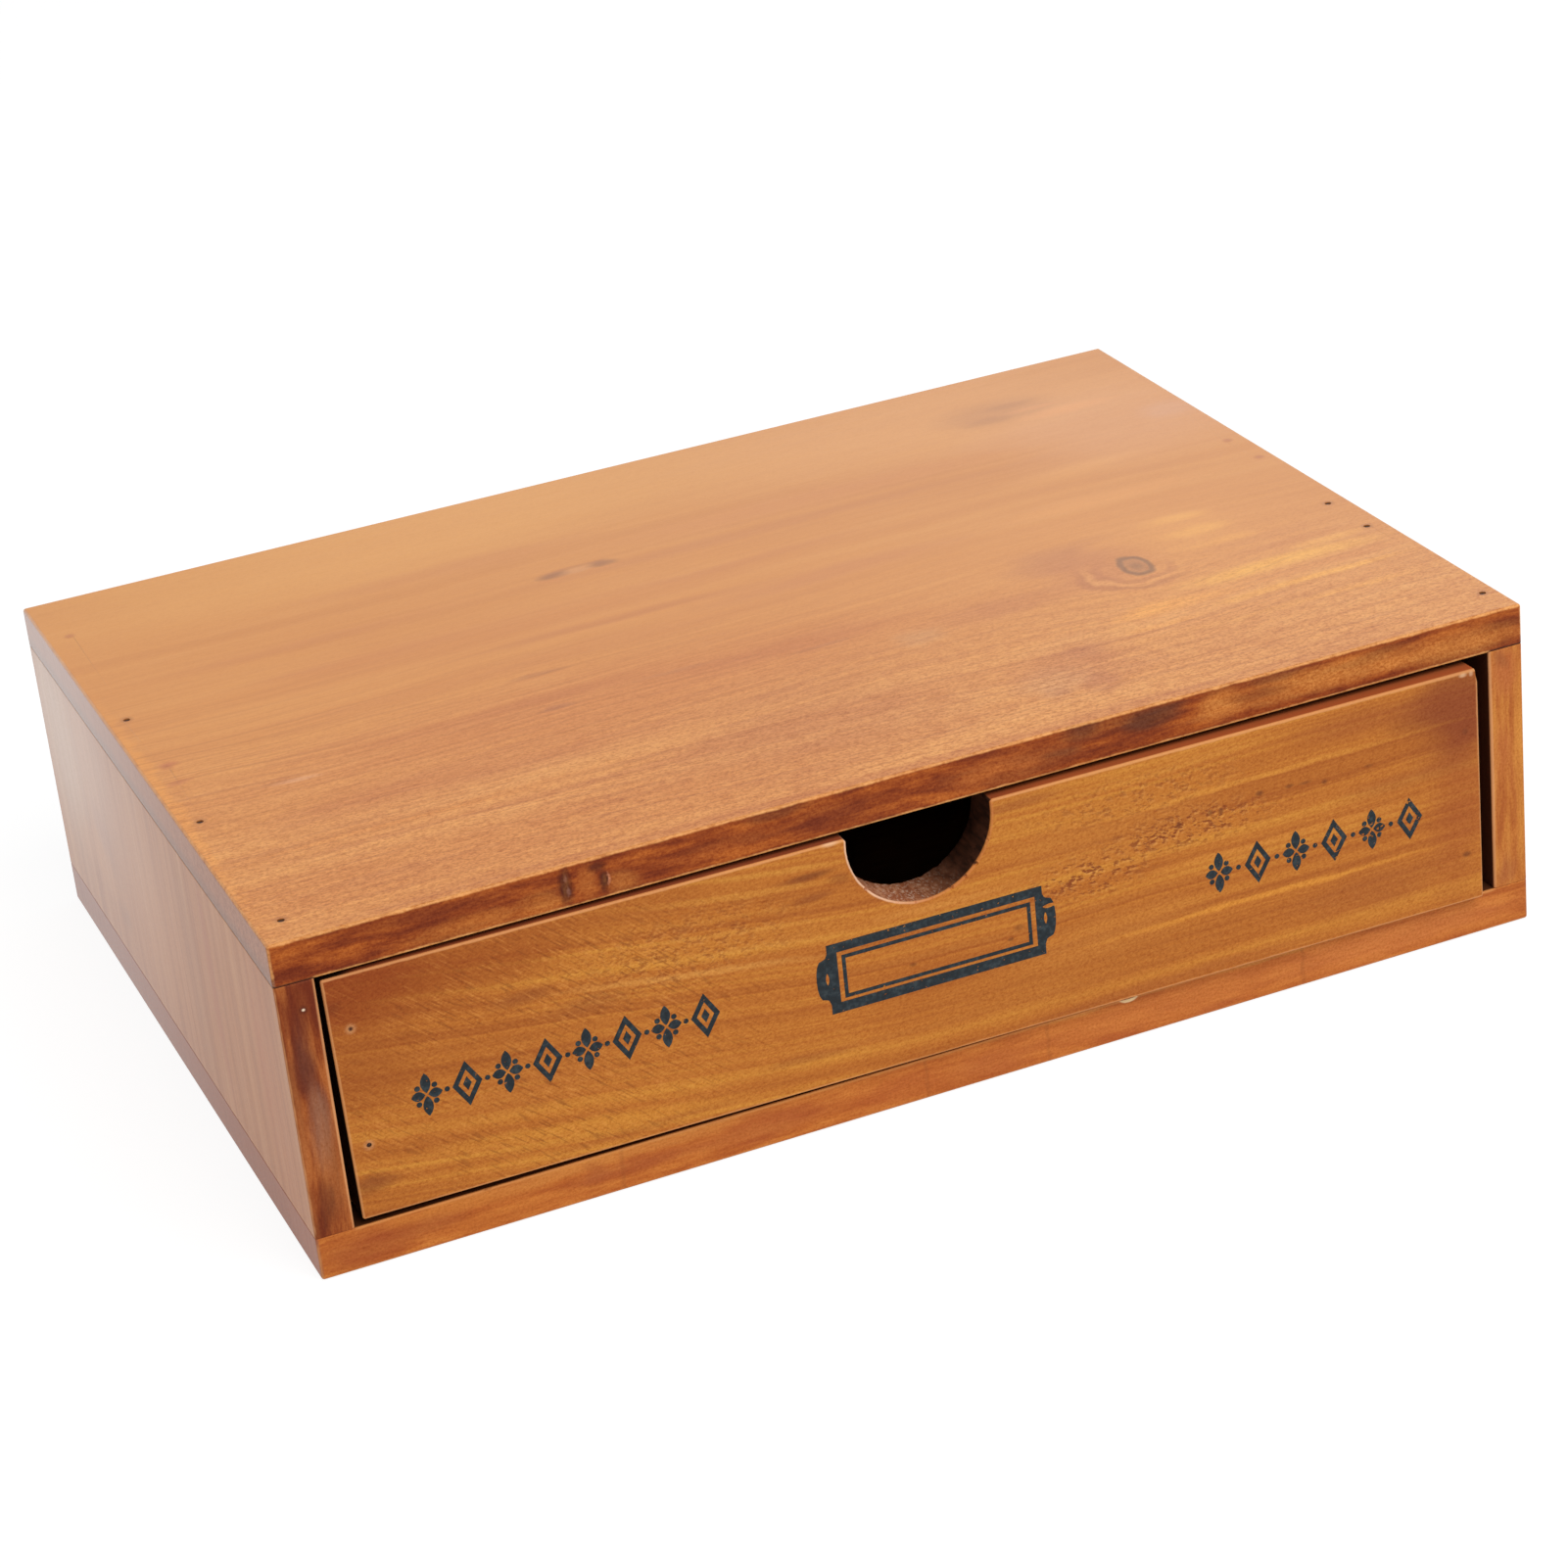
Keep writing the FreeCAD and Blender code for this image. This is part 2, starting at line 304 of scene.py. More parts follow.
def headsOf(name, axis, way):                # where the nail heads of one row of nails lie
    points = [vertex.co for vertex in nodes[name].data.vertices]
    outermost = max(point[axis] * way for point in points)
    heads = []
    for point in points:
        if point[axis] * way > outermost - 0.1 * mm:
            near = [head for head in heads if (head[0] - point).length < 3 * mm]
            if near:
                near[0].append(point)
            else:
                heads.append([point])
    return [sum(head, Vector()) / len(head) for head in heads]


# Places on a piece in millimetres: in the case as they are, in the drawer as if it stood straight
def placeOf(recipe, inDrawer):
    place = recipe.node("ShaderNodeTexCoord", out=3)
    if inDrawer:
        settings = {"rotation_type": "Z_AXIS"}
        sockets = {"Vector": place, "Center": (0, drawerPlane, 0), "Angle": drawerTurn}
        place = recipe.node("ShaderNodeVectorRotate", settings, sockets)
    return recipe.stretched(place, (1000, 1000, 1000))


# What a board's wood needs: along, across and through the board
def grainPlace(recipe, place, grain):
    parts = dict(zip("xyz", recipe.split(place)))
    return recipe.joined(*[parts[axis] for axis in grain])


# Marks on a face: soft ovals, lines that follow the grain, and ovals of one tone
def stained(recipe, colour, flat, stains):
    for middle, radii, tone, strength in stains:
        colour = recipe.over(colour, recipe.spot(flat, middle, radii, strength), tone)
    return colour


def lined(recipe, colour, field, along, lines):
    flat = recipe.joined(along, field, 0.0)
    return stained(recipe, colour, flat, [
        (((start + end) / 2, at), ((end - start) / 2, width), tone, strength)
        for at, width, start, end, tone, strength in lines
    ])


def dotted(recipe, colour, flat, dots, tone):
    return stained(recipe, colour, flat, [(at, radii, tone, strength) for at, radii, strength in dots])


def wobbled(recipe, q, first, second, by, amounts):  # two coordinates, pushed about a little
    push = recipe.node("ShaderNodeTexNoise", None, {
        "Vector": recipe.stretched(q, by),
        "Scale": 1.0,
        "Detail": 2.0,
    }, out=1)
    centred = recipe.shifted(push, (-0.5, -0.5, -0.5))
    flat = recipe.joined(first, second, 0.0)
    settings = {"operation": "MULTIPLY_ADD"}
    sockets = {0: centred, 1: (amounts[0], amounts[1], 0.0), 2: flat}
    return recipe.node("ShaderNodeVectorMath", settings, sockets)


def banded(recipe, q, field, looks):                 # the grain's tone, about 0.5 on average
    along = recipe.split(q)[0]
    broad = recipe.bands(field * looks["broad"] + along * 0.0012)
    middle = recipe.bands(field * looks["middle"] + 40)
    fine = recipe.bands(field * looks["fine"] + 90)
    fibre = recipe.noise(q, (0.02, looks["fine"] * 2.2, looks["fine"] * 2.2))
    cloud = recipe.noise(q, (0.014, 0.03, 0.03), detail=3)
    weights = looks["weights"]
    tone = broad * weights[0] + middle * weights[1] + fine * weights[2]
    tone = tone + fibre * weights[3] + cloud * weights[4]
    return tone / sum(weights)


def drifted(recipe, q, looks):               # how far the grain's lines stray from straight
    slow = recipe.noise(q, (0.006, 0.02, 0.02)) - 0.5
    quick = recipe.noise(q, (0.03, 0.1, 0.1)) - 0.5
    return slow * looks["drift"] + quick * looks["shiver"]


def flecked(recipe, colour, q, tone, density, amount, size):
    fleck = recipe.noise(q, (size * 0.14, size, size))
    return recipe.over(colour, recipe.rise(fleck, 0.69 - density, 0.76 - density) * amount, tone)


def grained(recipe, colour, value, depth):   # the same colour, darker and redder where value is low
    darker = recipe.stretched(colour, (0.80, 0.66, 0.50))
    paler = recipe.stretched(colour, (1.10, 1.18, 1.25))
    colour = recipe.mix((0.5 - value) * depth, colour, darker)
    return recipe.mix((value - 0.5) * depth, colour, paler)


def speckled(recipe, colour, place, size, depth):    # fine even speckle of the same colour
    speck = recipe.noise(place, (size, size, size), detail=2, roughness=0.7)
    return grained(recipe, colour, 0.5 + (speck - 0.5) * depth, 1.0)


def edgeDistance(recipe, place, node):       # from the nearest arris of a straight board
    low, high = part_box(node)
    gaps = []
    for part, least, most in zip(recipe.split(place), low, high):
        gaps.append(recipe.least(part - least / mm, most / mm - part))
    first, second, third = gaps
    return recipe.most(recipe.least(first, second), recipe.least(recipe.most(first, second), third))


def rubbed(recipe, place, distance, width):  # 1 on an arris, fading unevenly over its width
    coarse = recipe.noise(place, (0.22, 0.22, 0.22), detail=2)
    return 1 - recipe.rise(distance + (coarse - 0.5) * width * 0.9, width * 0.3, width)


def ringed(recipe, colour, flat, heads, tone, strength, reach):
    return dotted(recipe, colour, flat, [(head, (reach, reach), strength) for head in heads], tone)


def finishWood(recipe, colour, coat, rough, height):  # height is in millimetres
    normal = recipe.node("ShaderNodeBump", None, {"Strength": 1.0, "Distance": mm, "Height": height})
    constants = {"Specular IOR Level": 0.14, "Coat Roughness": 0.26, "Coat IOR": 1.45}
    finishSurface(recipe, constants, {
        "Base Color": colour,
        "Roughness": rough,
        "Coat Weight": coat,
        "Normal": normal,
    })


# Where one face of the case gives way to the next, as soft steps in millimetres
faceSteps = {
    "ends": (166.6, 167.3),
    "fronts": (117.7, 118.4),
    "underTop": (79.6, 80.3),
    "overSides": (156.5, 158.5),
}


# The top board: smooth and pale above, dark red-brown along its front edge
topLooks = {
    "drift": 20,
    "shiver": 2.2,
    "broad": 0.055,
    "middle": 0.19,
    "fine": 0.62,
    "weights": (0.40, 0.20, 0.10, 0.05, 0.34),
    "stops": ((0.34, (212, 134, 66)), (0.50, (225, 149, 77)), (0.66, (234, 162, 88))),
    "lines": (((0.06, 0.20), 0.22, (184, 104, 54)), ((0.08, 0.20), 0.20, (240, 164, 84))),
    "rings": (((0.02, 0.16), 0.30, (190, 108, 56)), ((0.02, 0.16), 0.22, (240, 166, 88))),
    "knot": (98.5, -38.0),
    "knotReach": 24,
    "knotRings": (
        (14.2, (190, 112, 62), 0.55),
        (11.8, (240, 168, 96), 0.40),
        (9.4, (196, 118, 68), 0.50),
    ),
    "knotTones": {
        "around": (204, 126, 78),
        "heart": (190, 128, 78),
        "rim": (126, 86, 58),
        "core": (146, 100, 66),
    },
    "openTone": (150, 88, 50),
    "filledTone": (186, 100, 62),
    "stains": (
        ((-60, 104), (190, 44), (242, 172, 92), 0.60),
        ((100, 96), (110, 44), (242, 172, 104), 0.50),
        ((-55, 73), (60, 8), (214, 134, 74), 0.35),
        ((50, 60), (80, 9), (222, 142, 84), 0.30),
        ((20, 47), (110, 5), (210, 132, 76), 0.32),
        ((-110, 47), (60, 5), (212, 132, 74), 0.32),
        ((-100, 27), (50, 4), (212, 130, 70), 0.28),
        ((10, 29), (50, 4), (210, 130, 74), 0.30),
        ((-60, 24), (100, 14), (210, 128, 70), 0.28),
        ((-30, 12.5), (62, 3.4), (202, 120, 66), 0.42),
        ((30, 7), (60, 7), (210, 130, 76), 0.40),
        ((-60, -2), (120, 8), (216, 136, 72), 0.30),
        ((-60, -34), (150, 30), (206, 120, 58), 0.50),
        ((0, -32), (50, 7), (194, 108, 58), 0.35),
        ((-70, -25), (60, 5), (196, 112, 60), 0.35),
        ((60, -42), (40, 8), (194, 112, 64), 0.42),
        ((-90, -56), (80, 8), (198, 112, 58), 0.34),
        ((-100, -100), (120, 24), (208, 126, 58), 0.55),
        ((-60, -79), (110, 2.6), (190, 104, 52), 0.35),
        ((-110, -73), (60, 2.4), (232, 150, 68), 0.45),
        ((0, -116), (190, 4), (192, 106, 52), 0.45),
        ((60, -86), (24, 22), (196, 114, 62), 0.45),
        ((-100, -60), (90, 14), (204, 122, 62), 0.42),
        ((-8, -80), (60, 38), (200, 122, 66), 0.50),
        ((112, -40), (66, 74), (238, 162, 88), 0.35),
        ((128, -58), (40, 6), (255, 186, 84), 0.75),
        ((119, -24), (20, 20), (250, 176, 90), 0.25),
        ((117, -15), (19, 4), (255, 184, 92), 0.45),
        ((121, -26), (18, 4), (255, 184, 90), 0.45),
        ((125, -36), (17, 3), (252, 178, 86), 0.40),
        ((134, -72), (30, 3), (255, 182, 80), 0.65),
        ((126, -84), (40, 3), (250, 176, 84), 0.50),
        ((96, -66), (24, 5), (252, 172, 74), 0.60),
        ((92, -76), (18, 2.4), (246, 168, 80), 0.50),
        ((150, -52), (16, 3), (255, 186, 92), 0.50),
        ((138, -47), (30, 3), (214, 134, 72), 0.45),
        ((140, -66), (26, 2.4), (214, 132, 66), 0.50),
        ((118, 34), (34, 7), (246, 174, 98), 0.40),
        ((118, 10), (44, 6), (244, 168, 94), 0.38),
        ((135, -40), (30, 5), (214, 136, 74), 0.35),
        ((146, 60), (60, 46), (240, 174, 124), 0.42),
        ((85, -22), (18, 13), (192, 118, 76), 0.42),
    ),
    "marks": (
        ((118, 88), (26, 14), (186, 120, 76), 0.36),
        ((113, 83), (11, 4), (176, 112, 70), 0.24),
        ((124, 91), (12, 3), (180, 116, 74), 0.24),
        ((136, 78), (20, 5), (250, 172, 106), 0.45),
        ((128, 85), (13, 2.4), (246, 168, 104), 0.35),
        ((-61, -10), (12, 1.9), (184, 110, 64), 0.60),
        ((-139, -34), (9, 1.7), (184, 106, 64), 0.55),
        ((-64, -32.5), (8, 2.1), (180, 106, 66), 0.60),
        ((-30, -29), (17, 1.8), (186, 110, 68), 0.40),
        ((8, -37), (13, 2), (184, 108, 68), 0.40),
        ((160, 60), (12, 10), (232, 170, 130), 0.50),
        ((31, -47), (10, 8), (210, 152, 102), 0.40),
        ((48, -92), (15, 12), (212, 150, 100), 0.42),
        ((58, -99), (8, 9), (186, 108, 66), 0.45),
        ((45, -98), (6, 5), (186, 120, 80), 0.40),
        ((62, -80), (9, 6), (190, 114, 68), 0.40),
        ((-35, 50.6), (7, 3.0), (162, 102, 66), 0.75),
        ((-20, 50.8), (6, 3.2), (162, 102, 66), 0.70),
        ((-28, 52.6), (13, 1.6), (190, 120, 74), 0.40),
        ((-28, 50.2), (7, 2.6), (222, 158, 108), 0.45),
        ((-161, -19), (5, 2), (190, 96, 62), 0.55),
        ((-166, -30), (3.0, 90), (246, 164, 76), 0.55),
        ((-134, -35), (9, 1.9), (236, 174, 128), 0.50),
        ((-160, -7), (4, 2.6), (204, 112, 70), 0.55),
    ),
    "edgeStops": ((0.38, (124, 49, 17)), (0.50, (153, 70, 24)), (0.64, (186, 98, 36))),
    "edgeStains": (
        ((-118, 82), (26, 4), (196, 116, 50), 0.60),
        ((-128, 88), (26, 3), (116, 46, 22), 0.50),
        ((-100, 83), (6, 5), (196, 118, 52), 0.60),
        ((-90, 84), (4, 7), (190, 108, 46), 0.60),
        ((-80, 82), (8, 4), (200, 120, 54), 0.60),
        ((-52, 84), (20, 3), (176, 92, 38), 0.50),
        ((-40, 89), (14, 2.4), (96, 44, 28), 0.60),
        ((-25, 84), (20, 5), (120, 52, 26), 0.40),
        ((22, 84), (26, 6), (186, 104, 48), 0.55),
        ((44, 88.5), (12, 3.6), (94, 52, 34), 0.65),
        ((60, 87), (11, 4.0), (84, 50, 36), 0.72),
        ((64, 89), (8, 2.0), (84, 46, 32), 0.50),
        ((36, 84), (10, 2), (100, 56, 36), 0.50),
        ((80, 86), (9, 6), (214, 134, 62), 0.70),
        ((97, 89), (13, 2.4), (110, 58, 34), 0.60),
        ((112, 86.5), (34, 3.6), (216, 138, 64), 0.60),
        ((120, 83.5), (60, 3.0), (220, 138, 64), 0.65),
        ((150, 84), (24, 6), (214, 134, 62), 0.55),
    ),
    # painted shade inside the two dents on the front edge, with painted highlights on their sides
    "dentShadeAndHighlights": (
        ((-94.4, 85.0), (2.6, 7.2), (70, 18, 8), 0.95),
        ((-94.1, 87.0), (0.7, 1.4), (140, 92, 80), 0.50),
        ((-93.8, 83.4), (0.6, 1.8), (150, 102, 88), 0.55),
        ((-86.2, 87.8), (3.4, 2.0), (86, 26, 12), 0.85),
        ((-84.8, 83.8), (1.9, 4.0), (70, 18, 8), 0.95),
        ((-83.7, 84.2), (0.6, 2.2), (226, 148, 108), 0.65),
    ),
    # painted shade: the underside of the top board, dark as if in the shadow over the drawer
    "underShadeTone": (58, 30, 18),
    "endTone": (184, 116, 76),
    "seamTone": (128, 90, 74),
    "rubbedTone": (244, 172, 100),
}


def nearness(recipe, x, y):                  # 1 at the top's front edge, where more of its texture shows
    return 1 - recipe.rise(y + x * 0.08, -118, 12)


def topFace(recipe, place, x, y):
    looks = topLooks
    q = place
    across = y - looks["knot"][1]
    aside = (x - looks["knot"][0]) * 0.85
    reach = recipe.root(across * across + aside * aside)
    pushed = across / (1 + reach * reach / looks["knotReach"] ** 2)
    field = y - pushed * 0.72 + drifted(recipe, q, looks)
    near = nearness(recipe, x, y)
    tone = 0.5 + (banded(recipe, q, field, looks) - 0.5) * (0.55 + near * 0.75)
    colour = recipe.ramp(tone, looks["stops"])
    flat = wobbled(recipe, place, x, y, (0.02, 0.06, 0.06), (46, 7))
    colour = stained(recipe, colour, flat, looks["stains"])
    nudged = wobbled(recipe, place, x, y, (0.12, 0.2, 0.2), (5, 2.2))
    colour = stained(recipe, colour, nudged, looks["marks"])
    lineShare = 1 - recipe.rise(y + x * 0.25, -75, 30)
    lines = recipe.bands(field * 0.36 + 7, detail=2.0) - 0.5
    colour = striped(recipe, colour, lines, lineShare, looks["lines"])
    rings = recipe.noise(recipe.joined(x * 0.02, field, 0.0), (1.0, 0.8, 1.0), detail=1) - 0.5
    colour = striped(recipe, colour, rings, lineShare, looks["rings"])
    return knotted(recipe, place, colour, reach, x, y)


# A dark stripe where a value is well above 0, and a pale one where it is well below
def striped(recipe, colour, value, share, looks):
    (darkSteps, darkShare, dark), (paleSteps, paleShare, pale) = looks
    colour = recipe.over(colour, recipe.rise(value, *darkSteps) * share * darkShare, dark)
    return recipe.over(colour, recipe.rise(0 - value, *paleSteps) * share * paleShare, pale)


def knotted(recipe, place, colour, reach, x, y):
    middle, tones = topLooks["knot"], topLooks["knotTones"]
    rough = recipe.noise(place, (0.14, 0.14, 0.14), detail=2) - 0.5
    near = reach + rough * 6
    flat = recipe.joined(x, y, 0.0)
    shaded = recipe.spot(flat, (middle[0] - 8, middle[1] + 4), (22, 20), 0.45)
    colour = recipe.over(colour, shaded, tones["around"])
    below = recipe.spot(flat, (middle[0] - 6, middle[1] - 7), (20, 17), 1.0, 0.5)
    for radius, tone, strength in topLooks["knotRings"]:
        ring = 1 - recipe.rise(abs(near - radius), 0.4, 2.0)
        colour = recipe.over(colour, ring * below * strength, tone)
    across, down = x - middle[0], y - middle[1]
    heart = recipe.root(across * across * 1.7 + down * down * 0.72) + rough * 4
    colour = recipe.over(colour, (1 - recipe.rise(heart, 3.6, 6.6)) * 0.70, tones["heart"])
    rim = 1 - recipe.rise(abs(heart - 4.9), 0.3, 1.8)
    colour = recipe.over(colour, rim * 0.62, tones["rim"])
    return recipe.over(colour, (1 - recipe.rise(heart, 0.5, 3.0)) * 0.40, tones["core"])


def topBoardMaterial(heads, filled):
    looks = topLooks
    material, recipe = newMaterial("top_board")
    place = placeOf(recipe, False)
    x, y, z = recipe.split(place)
    above = topFace(recipe, place, x, y)
    flat = recipe.joined(x, y, 0.0)
    above = ringed(recipe, above, flat, heads, looks["openTone"], 0.5, 2.4)
    above = ringed(recipe, above, flat, filled, looks["filledTone"], 0.5, 2.2)
    edge = edgeWood(recipe, x, z, looks["edgeStops"], looks["edgeStains"])
    facing = recipe.joined(x, z, 0.0)
    # the dents' painted shade and painted highlights, laid on the front edge only
    nudged = wobbled(recipe, facing, x, z, (0.4, 0.4, 0.4), (1.6, 1.2))
    shadedDents = stained(recipe, edge, nudged, looks["dentShadeAndHighlights"])
    edge = recipe.mix(1 - recipe.rise(y, -1, 1), edge, shadedDents)
    ends = endWood(recipe, y, z, looks["endTone"])
    ends = recipe.over(ends, (1 - recipe.rise(z, 80.5, 85.0)) * 0.45, looks["seamTone"])
    colour = recipe.mix(recipe.rise(abs(y), *faceSteps["fronts"]), above, edge)
    colour = recipe.mix(recipe.rise(abs(x), *faceSteps["ends"]), colour, ends)
    # painted shade on the underside of the top board, above the drawer's gap
    colour = recipe.over(colour, 1 - recipe.rise(z, *faceSteps["underTop"]), looks["underShadeTone"])
    distance = edgeDistance(recipe, place, "top_board")
    bare = 1 - overSides(recipe, x) * (1 - recipe.rise(z, 80.8, 83.0))
    colour = recipe.over(colour, rubbed(recipe, place, distance, 0.8) * bare * 0.75, looks["rubbedTone"])
    near = nearness(recipe, x, y)
    speck = recipe.noise(place, (1.0, 1.4, 1.4), detail=2, roughness=0.75)
    mottle = recipe.noise(place, (0.22, 0.5, 0.5), detail=3, roughness=0.6)
    colour = grained(recipe, colour, speck, 0.7 + near * 6.0)
    colour = grained(recipe, colour, mottle, 0.3 + near * 3.0)
    grain = recipe.noise(place, (0.05, 1.1, 1.1), detail=2)
    sheen = recipe.most(0.30 + recipe.rise(x + y * 0.4, -150, 210) * 0.36, endSheen(recipe, x, y))
    coat = 0.02 + recipe.rise(y, -118.4, -117.6) * sheen
    height = recipe.noise(place, (0.012, 0.02, 0.02)) * 0.25 + grain * 0.02 + speck * near * 0.03
    finishWood(recipe, colour, coat, 0.46 + (grain - 0.5) * 0.12, height)
    return material


def overSides(recipe, x):                    # 1 where a board meets a side board and shows no arris
    return recipe.rise(abs(x), *faceSteps["overSides"])


# A narrow front edge of a board: stops, stains and short streaks along it
def edgeWood(recipe, along, up, stops, stains):
    q = recipe.joined(along, up, 0.0)
    wander = (recipe.noise(q, (0.02, 0.06, 0.06), detail=2) - 0.5) * 7
    bent = recipe.joined(along, up + wander, 0.0)
    tone = recipe.noise(bent, (0.045, 0.30, 0.30), detail=5, roughness=0.65)
    colour = recipe.ramp(tone, stops)
    flat = wobbled(recipe, q, along, up, (0.05, 0.16, 0.16), (14, 3.5))
    colour = stained(recipe, colour, flat, stains)
    slanted = recipe.joined(along + up * 1.5, up * 1.2 - along * 0.25, 0.0)
    streak = recipe.noise(recipe.joined(along, up + wander * 0.6, 0.0), (0.12, 1.5, 1.5), detail=3)
    fuzz = recipe.noise(slanted, (0.6, 2.0, 2.0), detail=3, roughness=0.75)
    colour = grained(recipe, colour, streak * 0.35 + fuzz * 0.65, 4.4)
    return speckled(recipe, colour, q, 1.5, 3.4)


def endSheen(recipe, x, y):                  # the varnish on the ends thickens towards the back
    return recipe.rise(abs(x), 166.4, 167.2) * (0.35 + recipe.rise(y, -90, 100) * 0.65)


def endWood(recipe, along, up, tone):
    rings = recipe.noise(recipe.joined(along, up, 0.0), (0.5, 0.1, 0.1), detail=3)
    return grained(recipe, recipe.flat(tone), rings, 1.6)


# The bottom board: an even orange-brown edge, redder in blotches
bottomLooks = {
    "edgeStops": ((0.38, (182, 95, 39)), (0.50, (198, 112, 47)), (0.63, (212, 129, 56))),
    "edgeStains": (
        ((-155, 5), (16, 7), (164, 78, 40), 0.60),
        ((-128, 9), (30, 3), (212, 132, 58), 0.60),
        ((-138, 6), (14, 3), (160, 78, 42), 0.45),
        ((-120, 3), (18, 3), (202, 118, 50), 0.60),
        ((-90, 10), (60, 2.4), (214, 138, 66), 0.60),
        ((-96, 7), (5, 5), (166, 86, 44), 0.45),
        ((-85, 6), (30, 3), (170, 86, 48), 0.45),
        ((-50, 6), (26, 5), (176, 90, 48), 0.50),
        ((-15, 5), (20, 6), (186, 96, 46), 0.40),
        ((10, 4), (16, 5), (178, 92, 48), 0.45),
        ((45, 1.5), (12, 2.4), (164, 70, 34), 0.60),
        ((75, 1.5), (12, 2.2), (164, 70, 34), 0.55),
        ((60, 6), (50, 5), (202, 116, 54), 0.45),
        ((130, 6), (50, 7), (218, 132, 70), 0.55),
        ((70, 6), (110, 9), (220, 136, 70), 0.30),
        ((80, 11.5), (110, 1.2), (212, 148, 74), 0.60),
        ((-60, 11.4), (110, 1.2), (218, 146, 72), 0.50),
    ),
    "seams": (-7.5, 26.5, -89.5, 100.0),
    "seamTone": (146, 76, 34),
    "chip": (49.7, 11.6),
    "chipTone": (252, 222, 168),
    # painted shade: the upper face inside the case, dark as if unlit
    "shadedFloorTone": (80, 44, 25),
    "baseTone": (150, 92, 52),
    "endTone": (172, 100, 64),
    "rubbedTone": (224, 150, 84),
}


def bottomBoardMaterial():
    looks = bottomLooks
    material, recipe = newMaterial("bottom_board")
    place = placeOf(recipe, False)
    x, y, z = recipe.split(place)
    edge = edgeWood(recipe, x, z, looks["edgeStops"], looks["edgeStains"])
    for seam in looks["seams"]:
        bow = x - seam + (recipe.noise(place, (0.1, 0.1, 0.3)) - 0.5) * 1.6
        edge = recipe.over(edge, (1 - recipe.rise(abs(bow), 0.15, 0.9)) * 0.24, looks["seamTone"])
    field = y + drifted(recipe, place, topLooks)
    tone = banded(recipe, place, field, topLooks)
    below = grained(recipe, recipe.flat(looks["baseTone"]), tone, 5.0)
    # painted shade: the upper face inside the case is darkened to stand in for its shade
    shadedInside = grained(recipe, recipe.flat(looks["shadedFloorTone"]), tone, 4.0)
    flat = recipe.mix(recipe.rise(z, 6, 11), below, shadedInside)
    ends = endWood(recipe, y, z, looks["endTone"])
    colour = recipe.mix(recipe.rise(abs(y), *faceSteps["fronts"]), flat, edge)
    colour = recipe.mix(recipe.rise(abs(x), *faceSteps["ends"]), colour, ends)
    distance = edgeDistance(recipe, place, "bottom_board")
    bare = 1 - overSides(recipe, x) * recipe.rise(z, 8.5, 10.7)
    colour = recipe.over(colour, rubbed(recipe, place, distance, 0.8) * bare * 0.65, looks["rubbedTone"])
    chip = recipe.spot(recipe.joined(x, z, 0.0), looks["chip"], (3.0, 1.5), 1.0, 0.75)
    chip = chip * (1 - recipe.rise(y, -117.9, -117.2))
    colour = recipe.over(colour, chip, looks["chipTone"])
    grain = recipe.noise(place, (0.06, 1.1, 1.1), detail=2)
    coat = 0.02 + endSheen(recipe, x, y) * 0.75
    finishWood(recipe, colour, coat, 0.5 + (grain - 0.5) * 0.15, grain * 0.035)
    return material


# The side boards: grain upright, the broad outer faces, and a narrow front edge each, on which a
# stain's height comes before its place across
sideLooks = {
    "drift": 9,
    "shiver": 1.6,
    "broad": 0.07,
    "middle": 0.16,
    "fine": 0.5,
    "weights": (0.36, 0.30, 0.16, 0.10, 0.30),
    "stops": ((0.38, (190, 118, 66)), (0.50, (204, 134, 82)), (0.62, (216, 152, 100))),
    "outerStainsAndSheen": (
        ((-100, 50), (16, 60), (196, 116, 66), 0.40),
        ((-52, 50), (5, 50), (190, 104, 62), 0.45),
        ((-94, 48), (7, 26), (204, 122, 72), 0.40),
        ((-30, 45), (14, 60), (184, 122, 80), 0.35),
        ((15, 45), (40, 50), (214, 142, 88), 0.45),
        # painted sheen: a pale oval brightening the face towards the back
        ((70, 62), (44, 40), (226, 170, 132), 0.55),
        ((60, 45), (14, 9), (190, 128, 100), 0.35),
        ((48, 26), (10, 6), (170, 112, 76), 0.30),
        # painted sheen: the palest oval, at the rear of the face
        ((100, 60), (30, 50), (232, 190, 158), 0.60),
        ((70, 32), (34, 10), (222, 150, 92), 0.40),
    ),
    "leftStops": ((0.40, (116, 46, 18)), (0.50, (146, 68, 27)), (0.61, (180, 100, 46))),
    "leftStains": (
        ((74, -162), (12, 8), (112, 42, 18), 0.75),
        ((58, -163), (18, 3.4), (104, 58, 44), 0.60),
        ((40, -162), (15, 4), (164, 116, 90), 0.65),
        ((28, -160), (20, 6), (186, 112, 58), 0.55),
        ((20, -163), (10, 3), (104, 48, 26), 0.50),
        ((40, -166.5), (44, 1.6), (190, 116, 62), 0.45),
    ),
    "pit": (-161.3, 72.2),
    "pitShadeTone": (90, 36, 18),
    "pitGlint": (255, 226, 196),
    "innerArris": (157.8, 46),
    "rightStops": ((0.40, (182, 100, 44)), (0.50, (198, 118, 52)), (0.61, (212, 136, 62))),
    "rightStains": (
        ((74, 162), (10, 6), (190, 104, 58), 0.60),
        ((76, 161), (3, 3), (150, 84, 46), 0.45),
        ((50, 162), (12, 5), (190, 104, 56), 0.40),
        ((40, 166), (50, 2.4), (222, 148, 66), 0.55),
        ((16, 161), (6, 5), (170, 98, 58), 0.45),
        ((40, 158.5), (12, 1.4), (224, 150, 78), 0.50),
    ),
    # painted shade: the tone of the inner faces, dark as the inside of the case in shadow
    "shadedInnerTone": (78, 44, 28),
    "rubbedTone": (234, 166, 110),
}


